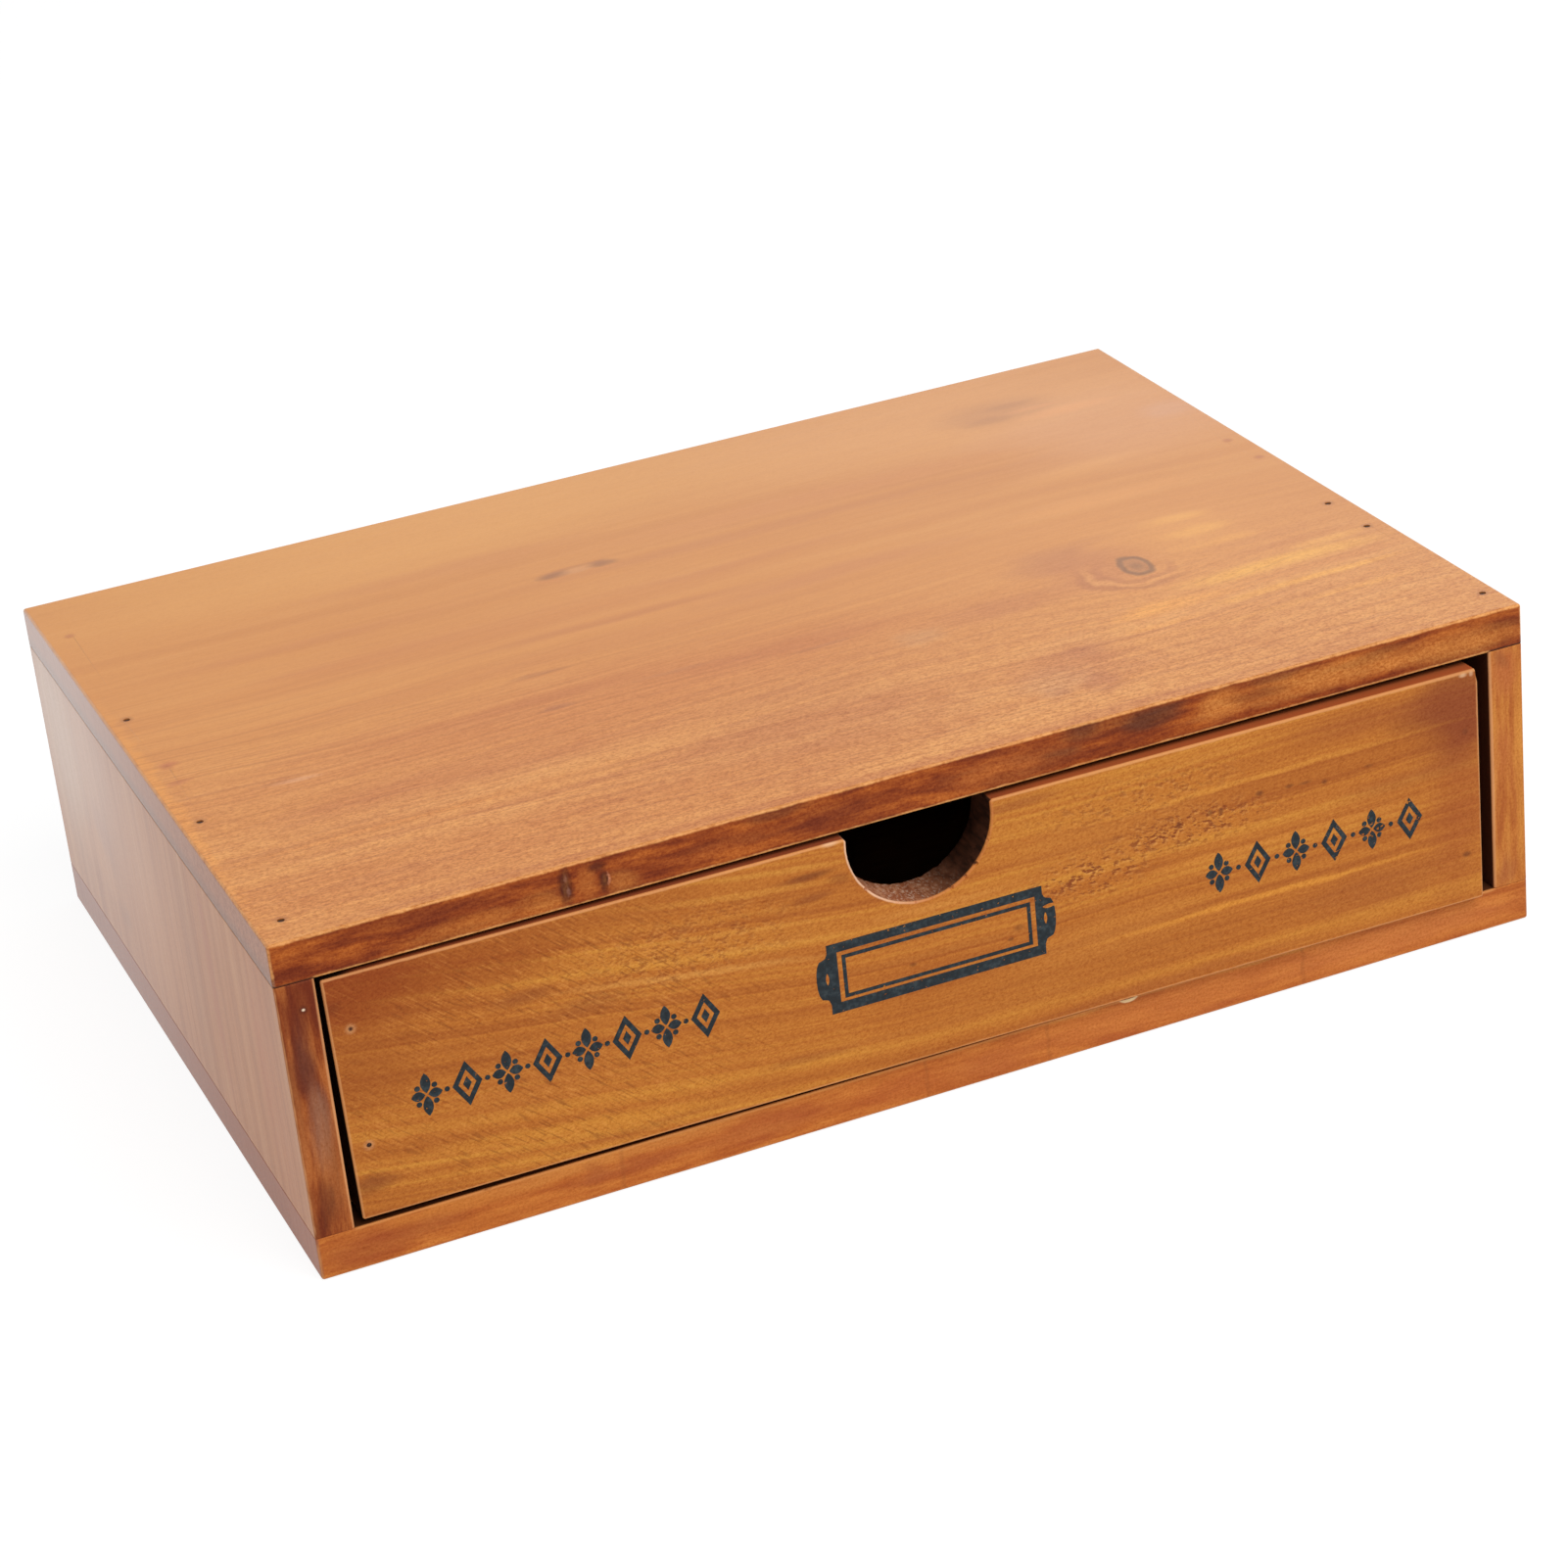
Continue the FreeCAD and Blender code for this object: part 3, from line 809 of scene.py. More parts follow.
def sideBoardMaterial(node, way):
    looks = sideLooks
    material, recipe = newMaterial(node)
    place = placeOf(recipe, False)
    x, y, z = recipe.split(place)
    q = grainPlace(recipe, place, "zyx")
    field = y + drifted(recipe, q, looks)
    colour = recipe.ramp(banded(recipe, q, field, looks), looks["stops"])
    flat = wobbled(recipe, q, y, z, (0.02, 0.05, 0.05), (6, 16))
    colour = stained(recipe, colour, flat, looks["outerStainsAndSheen"])
    stripes = recipe.noise(q, (0.02, 0.45, 0.45), detail=2)
    colour = grained(recipe, colour, stripes, 1.1)
    colour = speckled(recipe, colour, q, 1.1, 1.6)
    # painted shade: the inner faces are darkened to stand in for the shade inside the case
    inner = recipe.rise(x * -way, -165.5, -158.5)
    shadedInside = grained(recipe, recipe.flat(looks["shadedInnerTone"]), stripes, 2.0)
    colour = recipe.mix(inner, colour, shadedInside)
    side = "left" if way < 0 else "right"
    front = edgeWood(recipe, z, x, looks[side + "Stops"], looks[side + "Stains"])
    facing = recipe.joined(x, z, 0.0)
    arrisX, arrisZ = looks["innerArris"]
    arris = recipe.spot(facing, (arrisX * way, arrisZ), (0.7, 60), 1.0, 0.4) * (0.3 + stripes * 0.9)
    front = recipe.over(front, arris, looks["rubbedTone"])
    # a painted pit: painted shade in its hollow and a painted glint
    pitShade = recipe.spot(facing, looks["pit"], (1.6, 1.6), 0.8)
    front = recipe.over(front, pitShade, looks["pitShadeTone"])
    glint = recipe.spot(facing, looks["pit"], (0.6, 0.5), 0.9, 0.3)
    front = recipe.over(front, glint, looks["pitGlint"])
    colour = recipe.mix(1 - recipe.rise(y, -118.4, -117.7), colour, front)
    distance = edgeDistance(recipe, place, node)
    bare = recipe.rise(z, 12.0, 14.0) * (1 - recipe.rise(z, 77.5, 79.5))
    colour = recipe.over(colour, rubbed(recipe, place, distance, 0.55) * bare * 0.6, looks["rubbedTone"])
    grain = recipe.noise(q, (0.05, 1.2, 1.2), detail=2)
    coat = (0.35 + recipe.rise(y, -90, 100) * 0.65) * recipe.rise(y, -118.4, -117.6)
    coat = coat * (0.72 + recipe.rise(z, 8, 75) * 0.28)
    height = recipe.noise(q, (0.01, 0.03, 0.03)) * 0.2 + grain * 0.03
    finishWood(recipe, colour, coat, 0.48 + (grain - 0.5) * 0.15, height)
    return material


# The drawer front: golden bands that sink to the right, saw marks and torn grain
frontLooks = {
    "drift": 7,
    "shiver": 1.6,
    "broad": 0.085,
    "middle": 0.26,
    "fine": 0.95,
    "weights": (0.30, 0.34, 0.22, 0.08, 0.34),
    "stops": ((0.38, (176, 98, 38)), (0.50, (196, 118, 46)), (0.62, (214, 142, 56))),
    "fall": 0.13,
    "fallFrom": -20,
    "stains": (
        ((-150, 74), (34, 16), (146, 62, 20), 0.85),
        ((-118, 72), (36, 10), (158, 76, 26), 0.60),
        ((-80, 76), (40, 8), (170, 92, 36), 0.40),
        ((-150, 52), (20, 16), (160, 82, 30), 0.50),
        ((-152, 22), (12, 4), (134, 68, 34), 0.60),
        ((-154, 71), (5, 3), (120, 50, 20), 0.50),
        ((-113, 60.5), (12, 2.6), (148, 80, 38), 0.45),
        ((-93, 54), (16, 3.6), (158, 88, 42), 0.45),
        ((-34, 71), (11, 2.0), (144, 72, 32), 0.65),
        ((-34, 65), (11, 1.8), (144, 72, 34), 0.60),
        ((-24, 68), (6, 2.6), (140, 70, 32), 0.55),
        ((-40, 22.5), (17, 2.2), (160, 88, 40), 0.45),
        ((-85, 16), (34, 1.8), (164, 88, 38), 0.40),
        ((-110, 36), (40, 9), (190, 112, 48), 0.40),
        ((20, 75.5), (22, 2.2), (160, 86, 42), 0.50),
        ((50, 60), (40, 12), (200, 126, 54), 0.45),
        ((40, 25), (60, 12), (186, 112, 46), 0.35),
        ((146, 45), (13, 44), (170, 88, 40), 0.55),
        ((146, 67), (22, 20), (138, 64, 34), 0.80),
        ((46, 33), (40, 8), (208, 134, 58), 0.40),
        ((120, 72), (34, 5), (166, 88, 42), 0.50),
        ((130, 52), (24, 4), (160, 82, 40), 0.45),
        ((120, 24), (34, 9), (170, 94, 44), 0.45),
        ((60, 14.5), (60, 2.0), (168, 92, 44), 0.40),
        ((-5, 53.5), (28, 2.2), (206, 132, 60), 0.40),
    ),
    "lines": (
        (65.6, 1.2, 10, 160, (226, 152, 62), 0.65),
        (74.5, 1.4, 30, 110, (214, 142, 60), 0.40),
        (46.4, 1.1, 25, 160, (220, 144, 60), 0.55),
        (31.0, 1.2, 20, 160, (228, 152, 60), 0.80),
        (54.2, 1.3, -25, 30, (218, 146, 64), 0.60),
        (47.6, 1.5, -112, -20, (222, 152, 72), 0.80),
        (52.4, 1.3, -78, -20, (216, 146, 64), 0.55),
        (57.2, 1.1, -88, -20, (214, 142, 62), 0.50),
        (61.5, 1.2, -95, -20, (208, 136, 56), 0.45),
        (67.0, 1.6, -85, -15, (216, 146, 62), 0.55),
        (72.0, 1.4, -70, -15, (214, 146, 62), 0.45),
        (12.4, 2.2, -150, -40, (216, 144, 56), 0.80),
        (16.4, 1.4, -150, -60, (206, 130, 50), 0.45),
        (8.6, 1.2, -140, -50, (204, 132, 52), 0.50),
        (20.6, 1.2, -60, 60, (200, 126, 52), 0.35),
        (41.5, 1.2, -62, 100, (204, 130, 56), 0.35),
    ),
    "dots": (
        ((88.5, 59.8), (1.6, 1.1), 0.60),
        ((97.0, 59.5), (1.8, 0.8), 0.55),
        ((101.5, 59.2), (2.6, 0.6), 0.45),
        ((107.0, 58.0), (1.2, 1.0), 0.55),
        ((119.8, 59.0), (1.8, 0.8), 0.35),
        ((74.5, 58.2), (1.0, 1.2), 0.55),
        ((77.5, 57.8), (1.1, 1.4), 0.60),
        ((65.5, 57.2), (1.2, 1.2), 0.50),
        ((147.5, 26.0), (1.8, 1.2), 0.60),
        ((-9.0, 39.5), (1.6, 0.8), 0.50),
        ((17.6, 38.8), (1.3, 0.7), 0.55),
        ((20.0, 41.5), (2.2, 1.2), 0.40),
        ((148.0, 61.0), (1.4, 1.4), 0.35),
        ((-33.1, 71.0), (9.0, 1.3), 0.32),
    ),
    "tearTones": ((134, 60, 26), (232, 162, 84)),
    "scratchTones": ((124, 60, 22), (228, 152, 74)),
    "dotTone": (96, 48, 26),
    "ringTone": (216, 152, 100),
    "headTone": (70, 34, 20),
    "worn": (
        ((147.8, 76.9), (1.6, 0.8), 0.60),
        ((150.2, 76.8), (0.9, 1.1), 0.45),
        ((-27.6, 78.2), (3.0, 1.2), 0.60),
    ),
    "wornTone": (246, 200, 158),
    "rubbedTone": (232, 164, 104),
    # painted light: the right half of the top face, which stands out of the case and is lit from above
    "litTopTone": (166, 84, 44),
    # painted shade: the left half of the top face
    "shadeTone": (146, 72, 42),
    # painted shade: the left end face, dark as the shadow in the gap
    "shadedEndTone": (38, 21, 14),
    "endTone": (112, 62, 36),
    "backTone": (150, 92, 52),
}


def faceCorners():
    points = [vertex.co for vertex in nodes["drawer_front"].data.vertices]
    corners = []
    for wayX, wayZ in ((-1, -1), (1, -1), (1, 1), (-1, 1)):
        corner = max(points, key=lambda point: wayX * point.x + wayZ * point.z)
        corners.append((corner.x / mm, corner.z / mm))
    return corners


def faceMargin(recipe, x, z):                # from the nearest of the drawer front's sloping edges
    corners = faceCorners()
    margin = None
    for (fromX, fromZ), (toX, toZ) in zip(corners, corners[1:] + corners[:1]):
        length = math.hypot(toX - fromX, toZ - fromZ)
        inX, inZ = (fromZ - toZ) / length, (toX - fromX) / length
        gap = x * inX + z * inZ - (fromX * inX + fromZ * inZ)
        margin = recipe.least(margin, gap) if margin else gap
    return margin


def drawerFrontMaterial(heads):
    looks = frontLooks
    material, recipe = newMaterial("drawer_front")
    place = placeOf(recipe, True)
    x, y, z = recipe.split(place)
    q = grainPlace(recipe, place, "xzy")
    left = looks["fallFrom"] - x
    rising = (left + recipe.root(left * left + 400)) * looks["fall"] / 2
    field = z - rising + drifted(recipe, q, looks)
    tone = banded(recipe, q, field, looks)
    colour = recipe.ramp(tone, looks["stops"])
    flat = wobbled(recipe, q, x, z, (0.03, 0.09, 0.09), (22, 4))
    colour = stained(recipe, colour, flat, looks["stains"])
    ragged = (recipe.noise(q, (0.09, 0.3, 0.3), detail=2) - 0.5) * 1.6
    colour = lined(recipe, colour, field + ragged, x, looks["lines"])
    face = recipe.joined(x, z, 0.0)
    colour, torn = tornGrain(recipe, colour, q, face)
    colour, sawn = sawMarks(recipe, colour, q, x, z)
    colour = dotted(recipe, colour, face, looks["dots"], looks["dotTone"])
    colour = ringed(recipe, colour, face, heads, looks["ringTone"], 0.75, 1.9)
    colour = ringed(recipe, colour, face, heads, looks["headTone"], 1.0, 0.9)
    turned = recipe.joined(x + z * 0.8, z * 1.2 - x * 0.5, 0.0)
    fuzz = recipe.noise(turned, (0.6, 1.3, 1.3), detail=3, roughness=0.8)
    colour = grained(recipe, colour, fuzz, 4.2)
    colour = speckled(recipe, colour, q, 1.5, 3.6)
    margin = faceMargin(recipe, x, z)
    colour = recipe.over(colour, rubbed(recipe, q, margin, 0.52) * 0.60, looks["rubbedTone"])
    colour = dotted(recipe, colour, face, looks["worn"], looks["wornTone"])
    deep = y - drawerPlane / mm
    behind = recipe.rise(deep, 0.35, 0.9)
    # painted light and shade on the drawer front's top and ends: the top face lit at the right and shaded
    # at the left, the left end painted dark as shadow
    lit = recipe.mix(recipe.rise(x, 10, 30), tint(*looks["shadeTone"]), tint(*looks["litTopTone"]))
    end = recipe.mix(recipe.rise(x, -152, -147), tint(*looks["shadedEndTone"]), lit)
    end = recipe.over(end, recipe.rise(deep, 2.5, 7.5), looks["endTone"])
    dull = recipe.over(end, recipe.rise(margin, 0.8, 2.0), looks["backTone"])
    colour = recipe.mix(behind, colour, grained(recipe, dull, tone, 4.0))
    colour = fingerCutWood(recipe, colour, q, x, y, z)
    grain = recipe.noise(q, (0.06, 1.2, 1.2), detail=2)
    coat = grain * 0.06
    height = grain * 0.05 + torn * 0.12 + sawn * 0.02
    finishWood(recipe, colour, coat, 0.48 + (grain - 0.5) * 0.15, height)
    return material


def tornGrain(recipe, colour, q, face):      # short dark tears beside pale ones
    where = recipe.most(recipe.spot(face, (40, 50), (26, 9)), recipe.spot(face, (68, 56), (36, 8)))
    where = recipe.most(where, recipe.spot(face, (55, 68), (44, 9), 0.55))
    where = recipe.most(where, recipe.spot(face, (-66, 61), (46, 16), 0.5))
    tears = recipe.noise(q, (0.5, 0.95, 0.95), detail=2, roughness=0.65)
    below = recipe.noise(recipe.shifted(q, (-0.5, 0.6, 0)), (0.5, 0.95, 0.95), detail=2, roughness=0.65)
    dark = recipe.rise(tears, 0.50, 0.64) * where
    pale = recipe.rise(below, 0.52, 0.64) * where
    darkTone, paleTone = frontLooks["tearTones"]
    colour = recipe.over(colour, pale * 0.5, paleTone)
    return recipe.over(colour, dark * 0.85, darkTone), 1 - dark


def sawMarks(recipe, colour, q, x, z):       # fine slanting scratches, strongest at the left
    slant = (x + z * 1.15) * 1.05
    scratch = recipe.noise(recipe.joined(slant, (x - z) * 0.11, 0.0), (1.0, 1.0, 1.0), detail=2)
    where = recipe.spot(recipe.joined(x, z, 0.0), (-108, 46), (84, 60), 1.0, 0.3)
    patchy = recipe.rise(recipe.noise(q, (0.05, 0.07, 0.07)), 0.34, 0.56)
    amount = where * (0.3 + patchy * 0.7)
    darkTone, paleTone = frontLooks["scratchTones"]
    colour = recipe.over(colour, recipe.rise(scratch, 0.52, 0.68) * amount * 0.45, darkTone)
    pale = recipe.rise(1 - scratch, 0.54, 0.68) * amount * 0.35
    return recipe.over(colour, pale, paleTone), scratch * amount


def fingerCutWood(recipe, colour, q, x, y, z):
    middle = fingerCut["middle"]
    across, up = x - middle[0], z - middle[1]
    reach = recipe.root(across * across + up * up) - fingerCut["radius"]
    leftward = 1 - recipe.rise(across - up * 0.3, -10, 12)
    rimTone = recipe.mix(leftward, *[tint(*tone) for tone in fingerCut["rimTones"]])
    rim = rubbed(recipe, q, abs(reach - 0.15), 0.62)
    colour = recipe.mix(rim * (0.55 + leftward * 0.4), colour, rimTone)
    front = drawerPlane / mm
    wall = (1 - recipe.rise(reach, 0.35, 0.75)) * recipe.rise(y, front + 0.3, front + 0.8)
    raw = recipe.noise(recipe.joined(across, y * 0.3, up), (0.7, 0.7, 0.7), detail=3)
    rawWood = recipe.ramp(raw, fingerCut["rawStops"])
    fibre = recipe.noise(recipe.joined(across, y * 0.5, up), (1.7, 1.7, 1.7), detail=3, roughness=0.7)
    pale, dark = fingerCut["fibreTones"]
    rawWood = recipe.over(rawWood, recipe.rise(fibre, 0.53, 0.64) * 0.7, pale)
    rawWood = recipe.over(rawWood, recipe.rise(1 - fibre, 0.54, 0.64) * 0.6, dark)
    # painted shade: the right side of the cut's wall, which faces away from the light, is darkened
    shadedWall = recipe.ramp(raw, fingerCut["shadedWallStops"])
    return recipe.mix(wall, colour, recipe.mix(recipe.rise(across + up * 0.25, -14, 9), rawWood, shadedWall))


# The drawer's box, the plywood and the nails
boxTone, plywoodTone = (158, 98, 56), (168, 110, 66)
plainLooks = {
    "fleckTone": (96, 54, 30),
    "rubbedTone": (218, 156, 104),
    "boards": {
        "back_panel": ("xzy", plywoodTone, False),
        "drawer_back": ("xzy", boxTone, True),
        "drawer_left_side": ("yzx", boxTone, True),
        "drawer_right_side": ("yzx", boxTone, True),
        "drawer_bottom": ("xyz", plywoodTone, True),
    },
}


def plainMaterial(node, grain, tone, inDrawer):
    material, recipe = newMaterial(node)
    place = placeOf(recipe, inDrawer)
    q = grainPlace(recipe, place, grain)
    field = recipe.split(q)[1] + drifted(recipe, q, topLooks)
    wood = grained(recipe, recipe.flat(tone), banded(recipe, q, field, topLooks), 6.0)
    wood = flecked(recipe, wood, q, plainLooks["fleckTone"], 0.02, 0.5, 0.9)
    distance = edgeDistance(recipe, placeOf(recipe, False), node)
    wood = recipe.over(wood, rubbed(recipe, place, distance, 0.7) * 0.5, plainLooks["rubbedTone"])
    grainHeight = recipe.noise(q, (0.06, 1.0, 1.0), detail=2)
    coat = 0.05 + grainHeight * 0.05
    rough = 0.62 + (grainHeight - 0.5) * 0.15
    finishWood(recipe, wood, coat, rough, grainHeight * 0.06)
    return material


nailLooks = {"stops": ((0.35, (38, 22, 15)), (0.55, (74, 46, 32)), (0.70, (120, 84, 62)))}


def nailMaterial():
    material, recipe = newMaterial("nail_steel")
    place = placeOf(recipe, False)
    mottle = recipe.noise(place, (1.4, 1.4, 1.4), detail=3)
    colour = recipe.ramp(mottle, nailLooks["stops"])
    bump = recipe.node("ShaderNodeBump", None, {"Strength": 0.4, "Distance": 0.1 * mm, "Height": mottle})
    finishSurface(recipe, {"Metallic": 0.2, "Specular IOR Level": 0.3}, {
        "Base Color": colour,
        "Roughness": 0.5 + (mottle - 0.5) * 0.4,
        "Normal": bump,
    })
    return material


# The ink: worn in specks, more so to the right, and scratched once beside the label frame
inkLooks = {
    "stops": ((0.38, (22, 30, 35)), (0.52, (32, 42, 48)), (0.68, (52, 62, 66))),
    "fadedFrom": 60,
    "fadedTo": 140,
    "scratch": (28.6, 45.2),
    "scratchRadii": (2.6, 1.0),
}


def inkMaterial():
    material, recipe = newMaterial("printed_ornament")
    place = placeOf(recipe, True)
    x, y, z = recipe.split(place)
    mottle = recipe.noise(place, (0.8, 0.8, 0.8), detail=3)
    colour = recipe.ramp(mottle, inkLooks["stops"])
    wear = recipe.noise(recipe.stretched(place, (0.6, 1, 1)), (1.5, 1.5, 1.5), detail=2, roughness=0.6)
    fadedRight = recipe.rise(x, inkLooks["fadedFrom"], inkLooks["fadedTo"])
    whole = 1 - recipe.rise(wear + fadedRight * 0.07, 0.68, 0.73)
    scratch = recipe.spot(recipe.joined(x, z, 0.0), inkLooks["scratch"], inkLooks["scratchRadii"])
    whole = whole * (1 - recipe.rise(scratch + (wear - 0.5), 0.35, 0.55))
    bump = recipe.node("ShaderNodeBump", None, {"Strength": 0.2, "Distance": 0.05 * mm, "Height": mottle})
    finishSurface(recipe, {"Specular IOR Level": 0.25}, {
        "Base Color": colour,
        "Roughness": 0.55 + (mottle - 0.5) * 0.2,
        "Alpha": whole,
        "Normal": bump,
    })
    return material


def dress(piece, material):
    piece.data.materials.clear()
    piece.data.materials.append(material)


def dressNails():
    steel = nailMaterial()
    for name in nodes:
        if name.endswith("brads") or name.endswith("pins"):
            dress(nodes[name], steel)


def headPlaces(name, axis, way, first, second):
    return [(head[first] / mm, head[second] / mm) for head in headsOf(name, axis, way)]


# Where a place on the drawer's face lies, from its x, its depth under the face and its height
def onDrawer(x, deep, z):
    along = x * mm * math.tan(drawerTurn)
    return Vector((x * mm, drawerPlane - along + deep * mm / math.cos(drawerTurn), z * mm))


def meshPiece(name, body, mesh, material):
    piece = bpy.data.objects.new(name, mesh)
    bpy.context.scene.collection.objects.link(piece)
    mesh.materials.clear()
    mesh.materials.append(material)
    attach(piece, body)
    return piece


# Heads that are filled over, level with the wood, and stained like it
filling = {
    "radius": 1.3,
    "thickness": 0.12,
    "proud": 0.015,
    "sides": 20,
    "rearFrom": 60,
    "middleWithin": 20,
    "rightFrom": 20,
    "rightTo": 40,
}


def isFilled(head):                          # at the rear, in the middle, and one more on the right
    x, y = head
    extra = x > 0 and filling["rightFrom"] < y < filling["rightTo"]
    return y > filling["rearFrom"] or abs(y) < filling["middleWithin"] or extra


def fillHeads(name, body, middles, turn, material):
    shape = bmesh.new()
    for middle in middles:
        bmesh.ops.create_cone(
            shape,
            cap_ends=True,
            segments=filling["sides"],
            radius1=filling["radius"] * mm,
            radius2=filling["radius"] * mm,
            depth=filling["thickness"] * mm,
            matrix=Matrix.Translation(middle) @ turn,
        )
    mesh = bpy.data.meshes.new(name)
    shape.to_mesh(mesh)
    shape.free()
    return meshPiece(name, body, mesh, material)


# Uneven lumps, which are cut out of a board as its chips and dents
def addLump(target, centre, radii, lean=0.0, seed=0):
    made = bmesh.ops.create_icosphere(target, subdivisions=3, radius=1.0)
    turn = Matrix.Rotation(lean, 3, "Y")
    for vertex in made["verts"]:
        rough = noise.noise(vertex.co * 1.7 + Vector((seed * 3.7, 0, 0)))
        reach = vertex.co * (1 + 0.35 * rough)
        vertex.co = centre + turn @ Vector([part * radius * mm for part, radius in zip(reach, radii)])


def wornBoard(node, body, lumps):
    tool = bpy.data.meshes.new(node + "_chips")
    shape = bmesh.new()
    for number, lump in enumerate(lumps):
        addLump(shape, *lump, seed=number)
    shape.to_mesh(tool)
    shape.free()
    cutter = bpy.data.objects.new(node + "_chips", tool)
    piece = bpy.data.objects.new(node + "_worn", nodes[node].data.copy())
    for each in (cutter, piece):
        bpy.context.scene.collection.objects.link(each)
    modifier = piece.modifiers.new("chips", "BOOLEAN")
    modifier.operation = "DIFFERENCE"
    modifier.object = cutter
    modifier.solver = "EXACT"
    modifier.use_self = True
    bpy.context.view_layer.update()
    cut = bpy.data.meshes.new_from_object(piece.evaluated_get(bpy.context.evaluated_depsgraph_get()))
    piece.modifiers.clear()
    piece.data = cut
    bpy.data.objects.remove(cutter)
    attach(piece, body)
    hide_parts(node)
    return piece


# Chips and dents: middle, radii in millimetres, and lean
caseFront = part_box("top_board")[0][1]


def atCase(x, z):
    return Vector((x * mm, caseFront, z * mm))


topChips = [
    (atCase(-149.0, 90.6), (1.6, 0.7, 0.5)),
    (atCase(-94.3, 85.4), (1.3, 0.28, 4.4), 0.06),
    (atCase(-84.7, 83.7), (0.9, 0.28, 2.6), 0.07),
    (atCase(-85.9, 88.0), (1.9, 0.20, 1.2)),
    (atCase(31.0, 90.7), (1.3, 0.6, 0.5)),
]
bottomChips = [
    (atCase(49.7, 11.9), (2.9, 1.1, 0.75)),
    (atCase(-124.0, 11.6), (1.5, 0.6, 0.4)),
    (atCase(-23.0, 11.7), (1.0, 0.5, 0.35)),
]
topBoard = wornBoard("top_board", "case", topChips)
bottomBoard = wornBoard("bottom_board", "case", bottomChips)


# The finger cut's torn rim, and the worn upper right corner of the drawer front
fingerCut = {
    "middle": (-4.15, 75.6),
    "radius": 19.3,
    "from": 200,
    "to": 345,
    "chips": 30,
    "depth": 12.0,
    "rimTones": ((214, 132, 74), (244, 196, 160)),
    "rawStops": ((0.34, (164, 96, 62)), (0.52, (184, 113, 75)), (0.70, (210, 146, 106))),
    # painted shade on the right side of the cut's wall
    "shadedWallStops": ((0.36, (44, 26, 18)), (0.66, (76, 44, 30))),
    "fibreTones": ((238, 204, 178), (126, 58, 34)),
}
cornerChip = {"place": (153.6, 4.0, 77.6), "radii": (2.3, 16.0, 6.5)}


def rimChips():
    random.seed(4)
    chips = []
    for number in range(fingerCut["chips"]):
        share = (number + random.random()) / fingerCut["chips"]
        angle = math.radians(fingerCut["from"] + share * (fingerCut["to"] - fingerCut["from"]))
        x = fingerCut["middle"][0] + math.cos(angle) * fingerCut["radius"]
        z = fingerCut["middle"][1] + math.sin(angle) * fingerCut["radius"]
        size = 0.35 + random.random() * 0.55
        deep = fingerCut["depth"] if number % 3 else 0.0
        chips.append((onDrawer(x, deep, z), (size * 1.3, size * 1.1, size), -angle))
    return chips


frontChips = rimChips()
frontChips.append((onDrawer(*cornerChip["place"]), cornerChip["radii"]))
drawerFront = wornBoard("drawer_front", "drawer", frontChips)
print("chips cut")


# The printed border: leaves and lozenges, and a label frame
printLooks = {
    "left": {"from": -140.5, "to": -59.0, "motifs": 8, "bottom": 35.6, "height": 12.2},
    "right": {"from": 70.5, "to": 136.5, "motifs": 6, "bottom": 34.9, "height": 12.0},
    "thickness": 0.07,
    "proud": 0.04,
}


def leaf(middle, angle, start, length, width, steps=10):
    edge = []
    for number in range(steps + 1):
        share = number / steps
        edge.append((start + share * length, math.sin(share * math.pi) ** 0.8 * width / 2))
    outline = edge + [(reach, -side) for reach, side in reversed(edge[1:-1])]
    cosine, sine = math.cos(angle), math.sin(angle)
    return [(middle[0] + r * cosine - s * sine, middle[1] + r * sine + s * cosine) for r, s in outline]


def lozenge(middle, width, height):
    x, z = middle
    return [(x - width / 2, z), (x, z - height / 2), (x + width / 2, z), (x, z + height / 2)]


def disc(middle, radius, steps=14):
    return [aside(middle, math.tau * number / steps, radius) for number in range(steps)]


def borderLine(place):
    outlines = []
    pitch = (place["to"] - place["from"]) / place["motifs"]
    height = place["height"]
    for number in range(place["motifs"]):
        middle = (place["from"] + (number + 0.5) * pitch, place["bottom"] + height / 2)
        if number % 2:
            outlines.append(lozenge(middle, height * 0.62, height))
            outlines.append(lozenge(middle, height * 0.37, height * 0.61))
            outlines.append(lozenge(middle, height * 0.18, height * 0.31))
        else:
            for quarter in range(4):
                length = height * (0.44 if quarter % 2 else 0.29)
                outlines.append(leaf(middle, quarter * math.pi / 2, 0.4, length, height * 0.21))
                outlines.append(disc(aside(middle, math.pi * (quarter + 0.5) / 2, height * 0.25), 0.72))
        if number:
            outlines.append(disc((middle[0] - pitch / 2, middle[1]), 0.68))
    return outlines


def aside(middle, angle, reach):
    return (middle[0] + reach * math.cos(angle), middle[1] + reach * math.sin(angle))


def printPiece(name, outlines, material):
    curve = bpy.data.curves.new(name, "CURVE")
    curve.dimensions = "2D"
    curve.fill_mode = "BOTH"
    curve.extrude = printLooks["thickness"] / 2
    for outline in outlines:
        spline = curve.splines.new("POLY")
        spline.points.add(len(outline) - 1)
        for point, (x, z) in zip(spline.points, outline):
            point.co = (x, z, 0, 1)
        spline.use_cyclic_u = True
    drawn = bpy.data.objects.new(name + "_drawn", curve)
    mesh = bpy.data.meshes.new_from_object(drawn)
    bpy.data.objects.remove(drawn)
    shape = bmesh.new()
    shape.from_mesh(mesh)
    bmesh.ops.remove_doubles(shape, verts=shape.verts, dist=0.001)
    sunk = printLooks["thickness"] / 2 - printLooks["proud"]
    for vertex in shape.verts:
        vertex.co = onDrawer(vertex.co.x, sunk - vertex.co.z, vertex.co.y)
    bmesh.ops.recalc_face_normals(shape, faces=shape.faces)
    shape.to_mesh(mesh)
    shape.free()
    return meshPiece(name, "drawer", mesh, material)


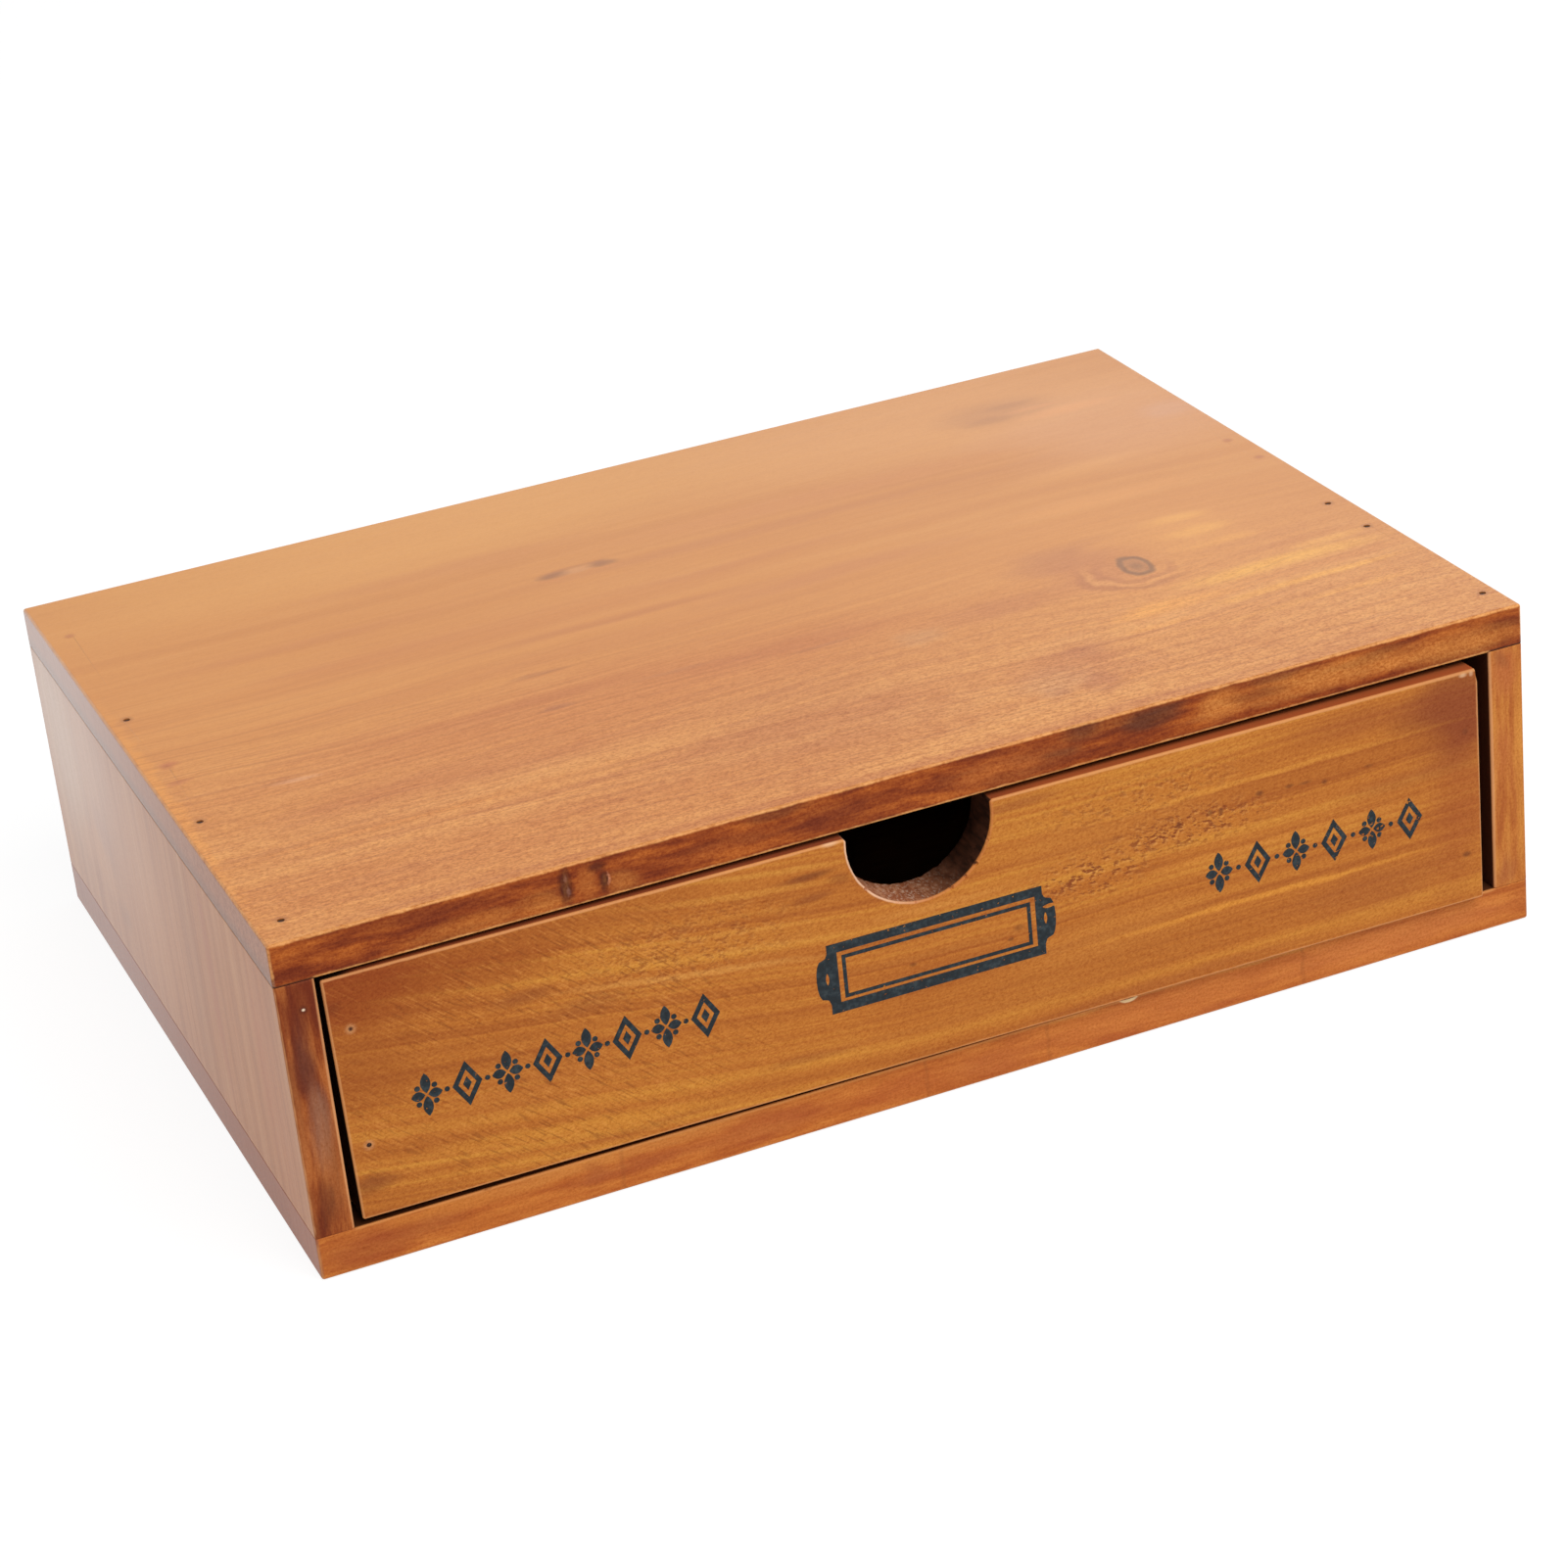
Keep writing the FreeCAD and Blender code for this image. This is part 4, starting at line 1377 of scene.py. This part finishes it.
labelFrame = {
    "outer": (-31.4, 32.1, 26.9, 51.2),
    "light": (-28.8, 34.9, 24.8, 48.7),
    "line": (-27.6, 35.7, 23.5, 47.6),
    "field": (-26.6, 36.7, 22.5, 46.6),
    "earOut": 3.3,
    "earLow": 36.4,
    "earHigh": 47.6,
    "slotWidth": 0.9,
    "slotHeight": 3.3,
}


def oblong(corners):
    left, low, right, high = corners
    return [(left, low), (right, low), (right, high), (left, high)]


def ear(side, way, steps=8):                 # one bulging ear, from its lower shoulder to its upper one
    low, high, out = labelFrame["earLow"], labelFrame["earHigh"], labelFrame["earOut"]
    middle = (low + high) / 2
    points = [(side, low - 1.6), (side + way * 0.5, low - 0.3)]
    for number in range(steps + 1):
        angle = math.pi * (number / steps - 0.5)
        points.append((side + way * (0.9 + (out - 0.9) * math.cos(angle) ** 0.6),
                       middle + (high - low) / 2 * math.sin(angle)))
    points += [(side + way * 0.5, high + 0.3), (side, high + 1.4)]
    return points


def labelOutlines():
    left, low, right, high = labelFrame["outer"]
    outline = [(left, low), (right, low)] + ear(right, 1) + [(right, high), (left, high)]
    outline += list(reversed(ear(left, -1)))
    slots = []
    for x in (left - 0.4, right + 0.5):
        middle = (labelFrame["earLow"] + labelFrame["earHigh"]) / 2
        half = labelFrame["slotHeight"] / 2
        slots.append(leaf((x, middle), math.pi / 2, -half, 2 * half, labelFrame["slotWidth"]))
    frames = [oblong(labelFrame[part]) for part in ("light", "line", "field")]
    return [outline] + slots + frames


ink = inkMaterial()
printPiece("border_left", borderLine(printLooks["left"]), ink)
printPiece("border_right", borderLine(printLooks["right"]), ink)
printPiece("label_frame", labelOutlines(), ink)
print("print laid on")

topHeads = headPlaces("top_left_brads", 2, 1, 0, 1) + headPlaces("top_right_brads", 2, 1, 0, 1)
frontHeads = headPlaces("drawer_front_left_brads", 1, -1, 0, 2)
upperLeft = max(frontHeads, key=lambda head: head[1])
filledFront = headPlaces("drawer_front_right_brads", 1, -1, 0, 2) + [upperLeft]
filledTop = [head for head in topHeads if isFilled(head)]
openTop = [head for head in topHeads if head not in filledTop]
print("filled heads:", len(filledTop), "above,", len(filledFront), "in front")
topWood = topBoardMaterial(openTop, filledTop)
frontWood = drawerFrontMaterial(frontHeads)
dress(topBoard, topWood)
dress(drawerFront, frontWood)
sunk = filling["thickness"] / 2 - filling["proud"]
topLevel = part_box("top_board")[1][2]
middles = [Vector((x * mm, y * mm, topLevel - sunk * mm)) for x, y in filledTop]
fillHeads("top_fillings", "case", middles, Matrix(), topWood)
facing = Matrix.Rotation(-drawerTurn, 4, "Z") @ Matrix.Rotation(math.pi / 2, 4, "X")
middles = [onDrawer(x, sunk, z) for x, z in filledFront]
fillHeads("drawer_front_fillings", "drawer", middles, facing, frontWood)
dress(bottomBoard, bottomBoardMaterial())
for board, way in (("left_side_board", -1), ("right_side_board", 1)):
    dress(nodes[board], sideBoardMaterial(board, way))
for board, grainAndTone in plainLooks["boards"].items():
    dress(nodes[board], plainMaterial(board, *grainAndTone))
dressNails()
print("boards dressed")
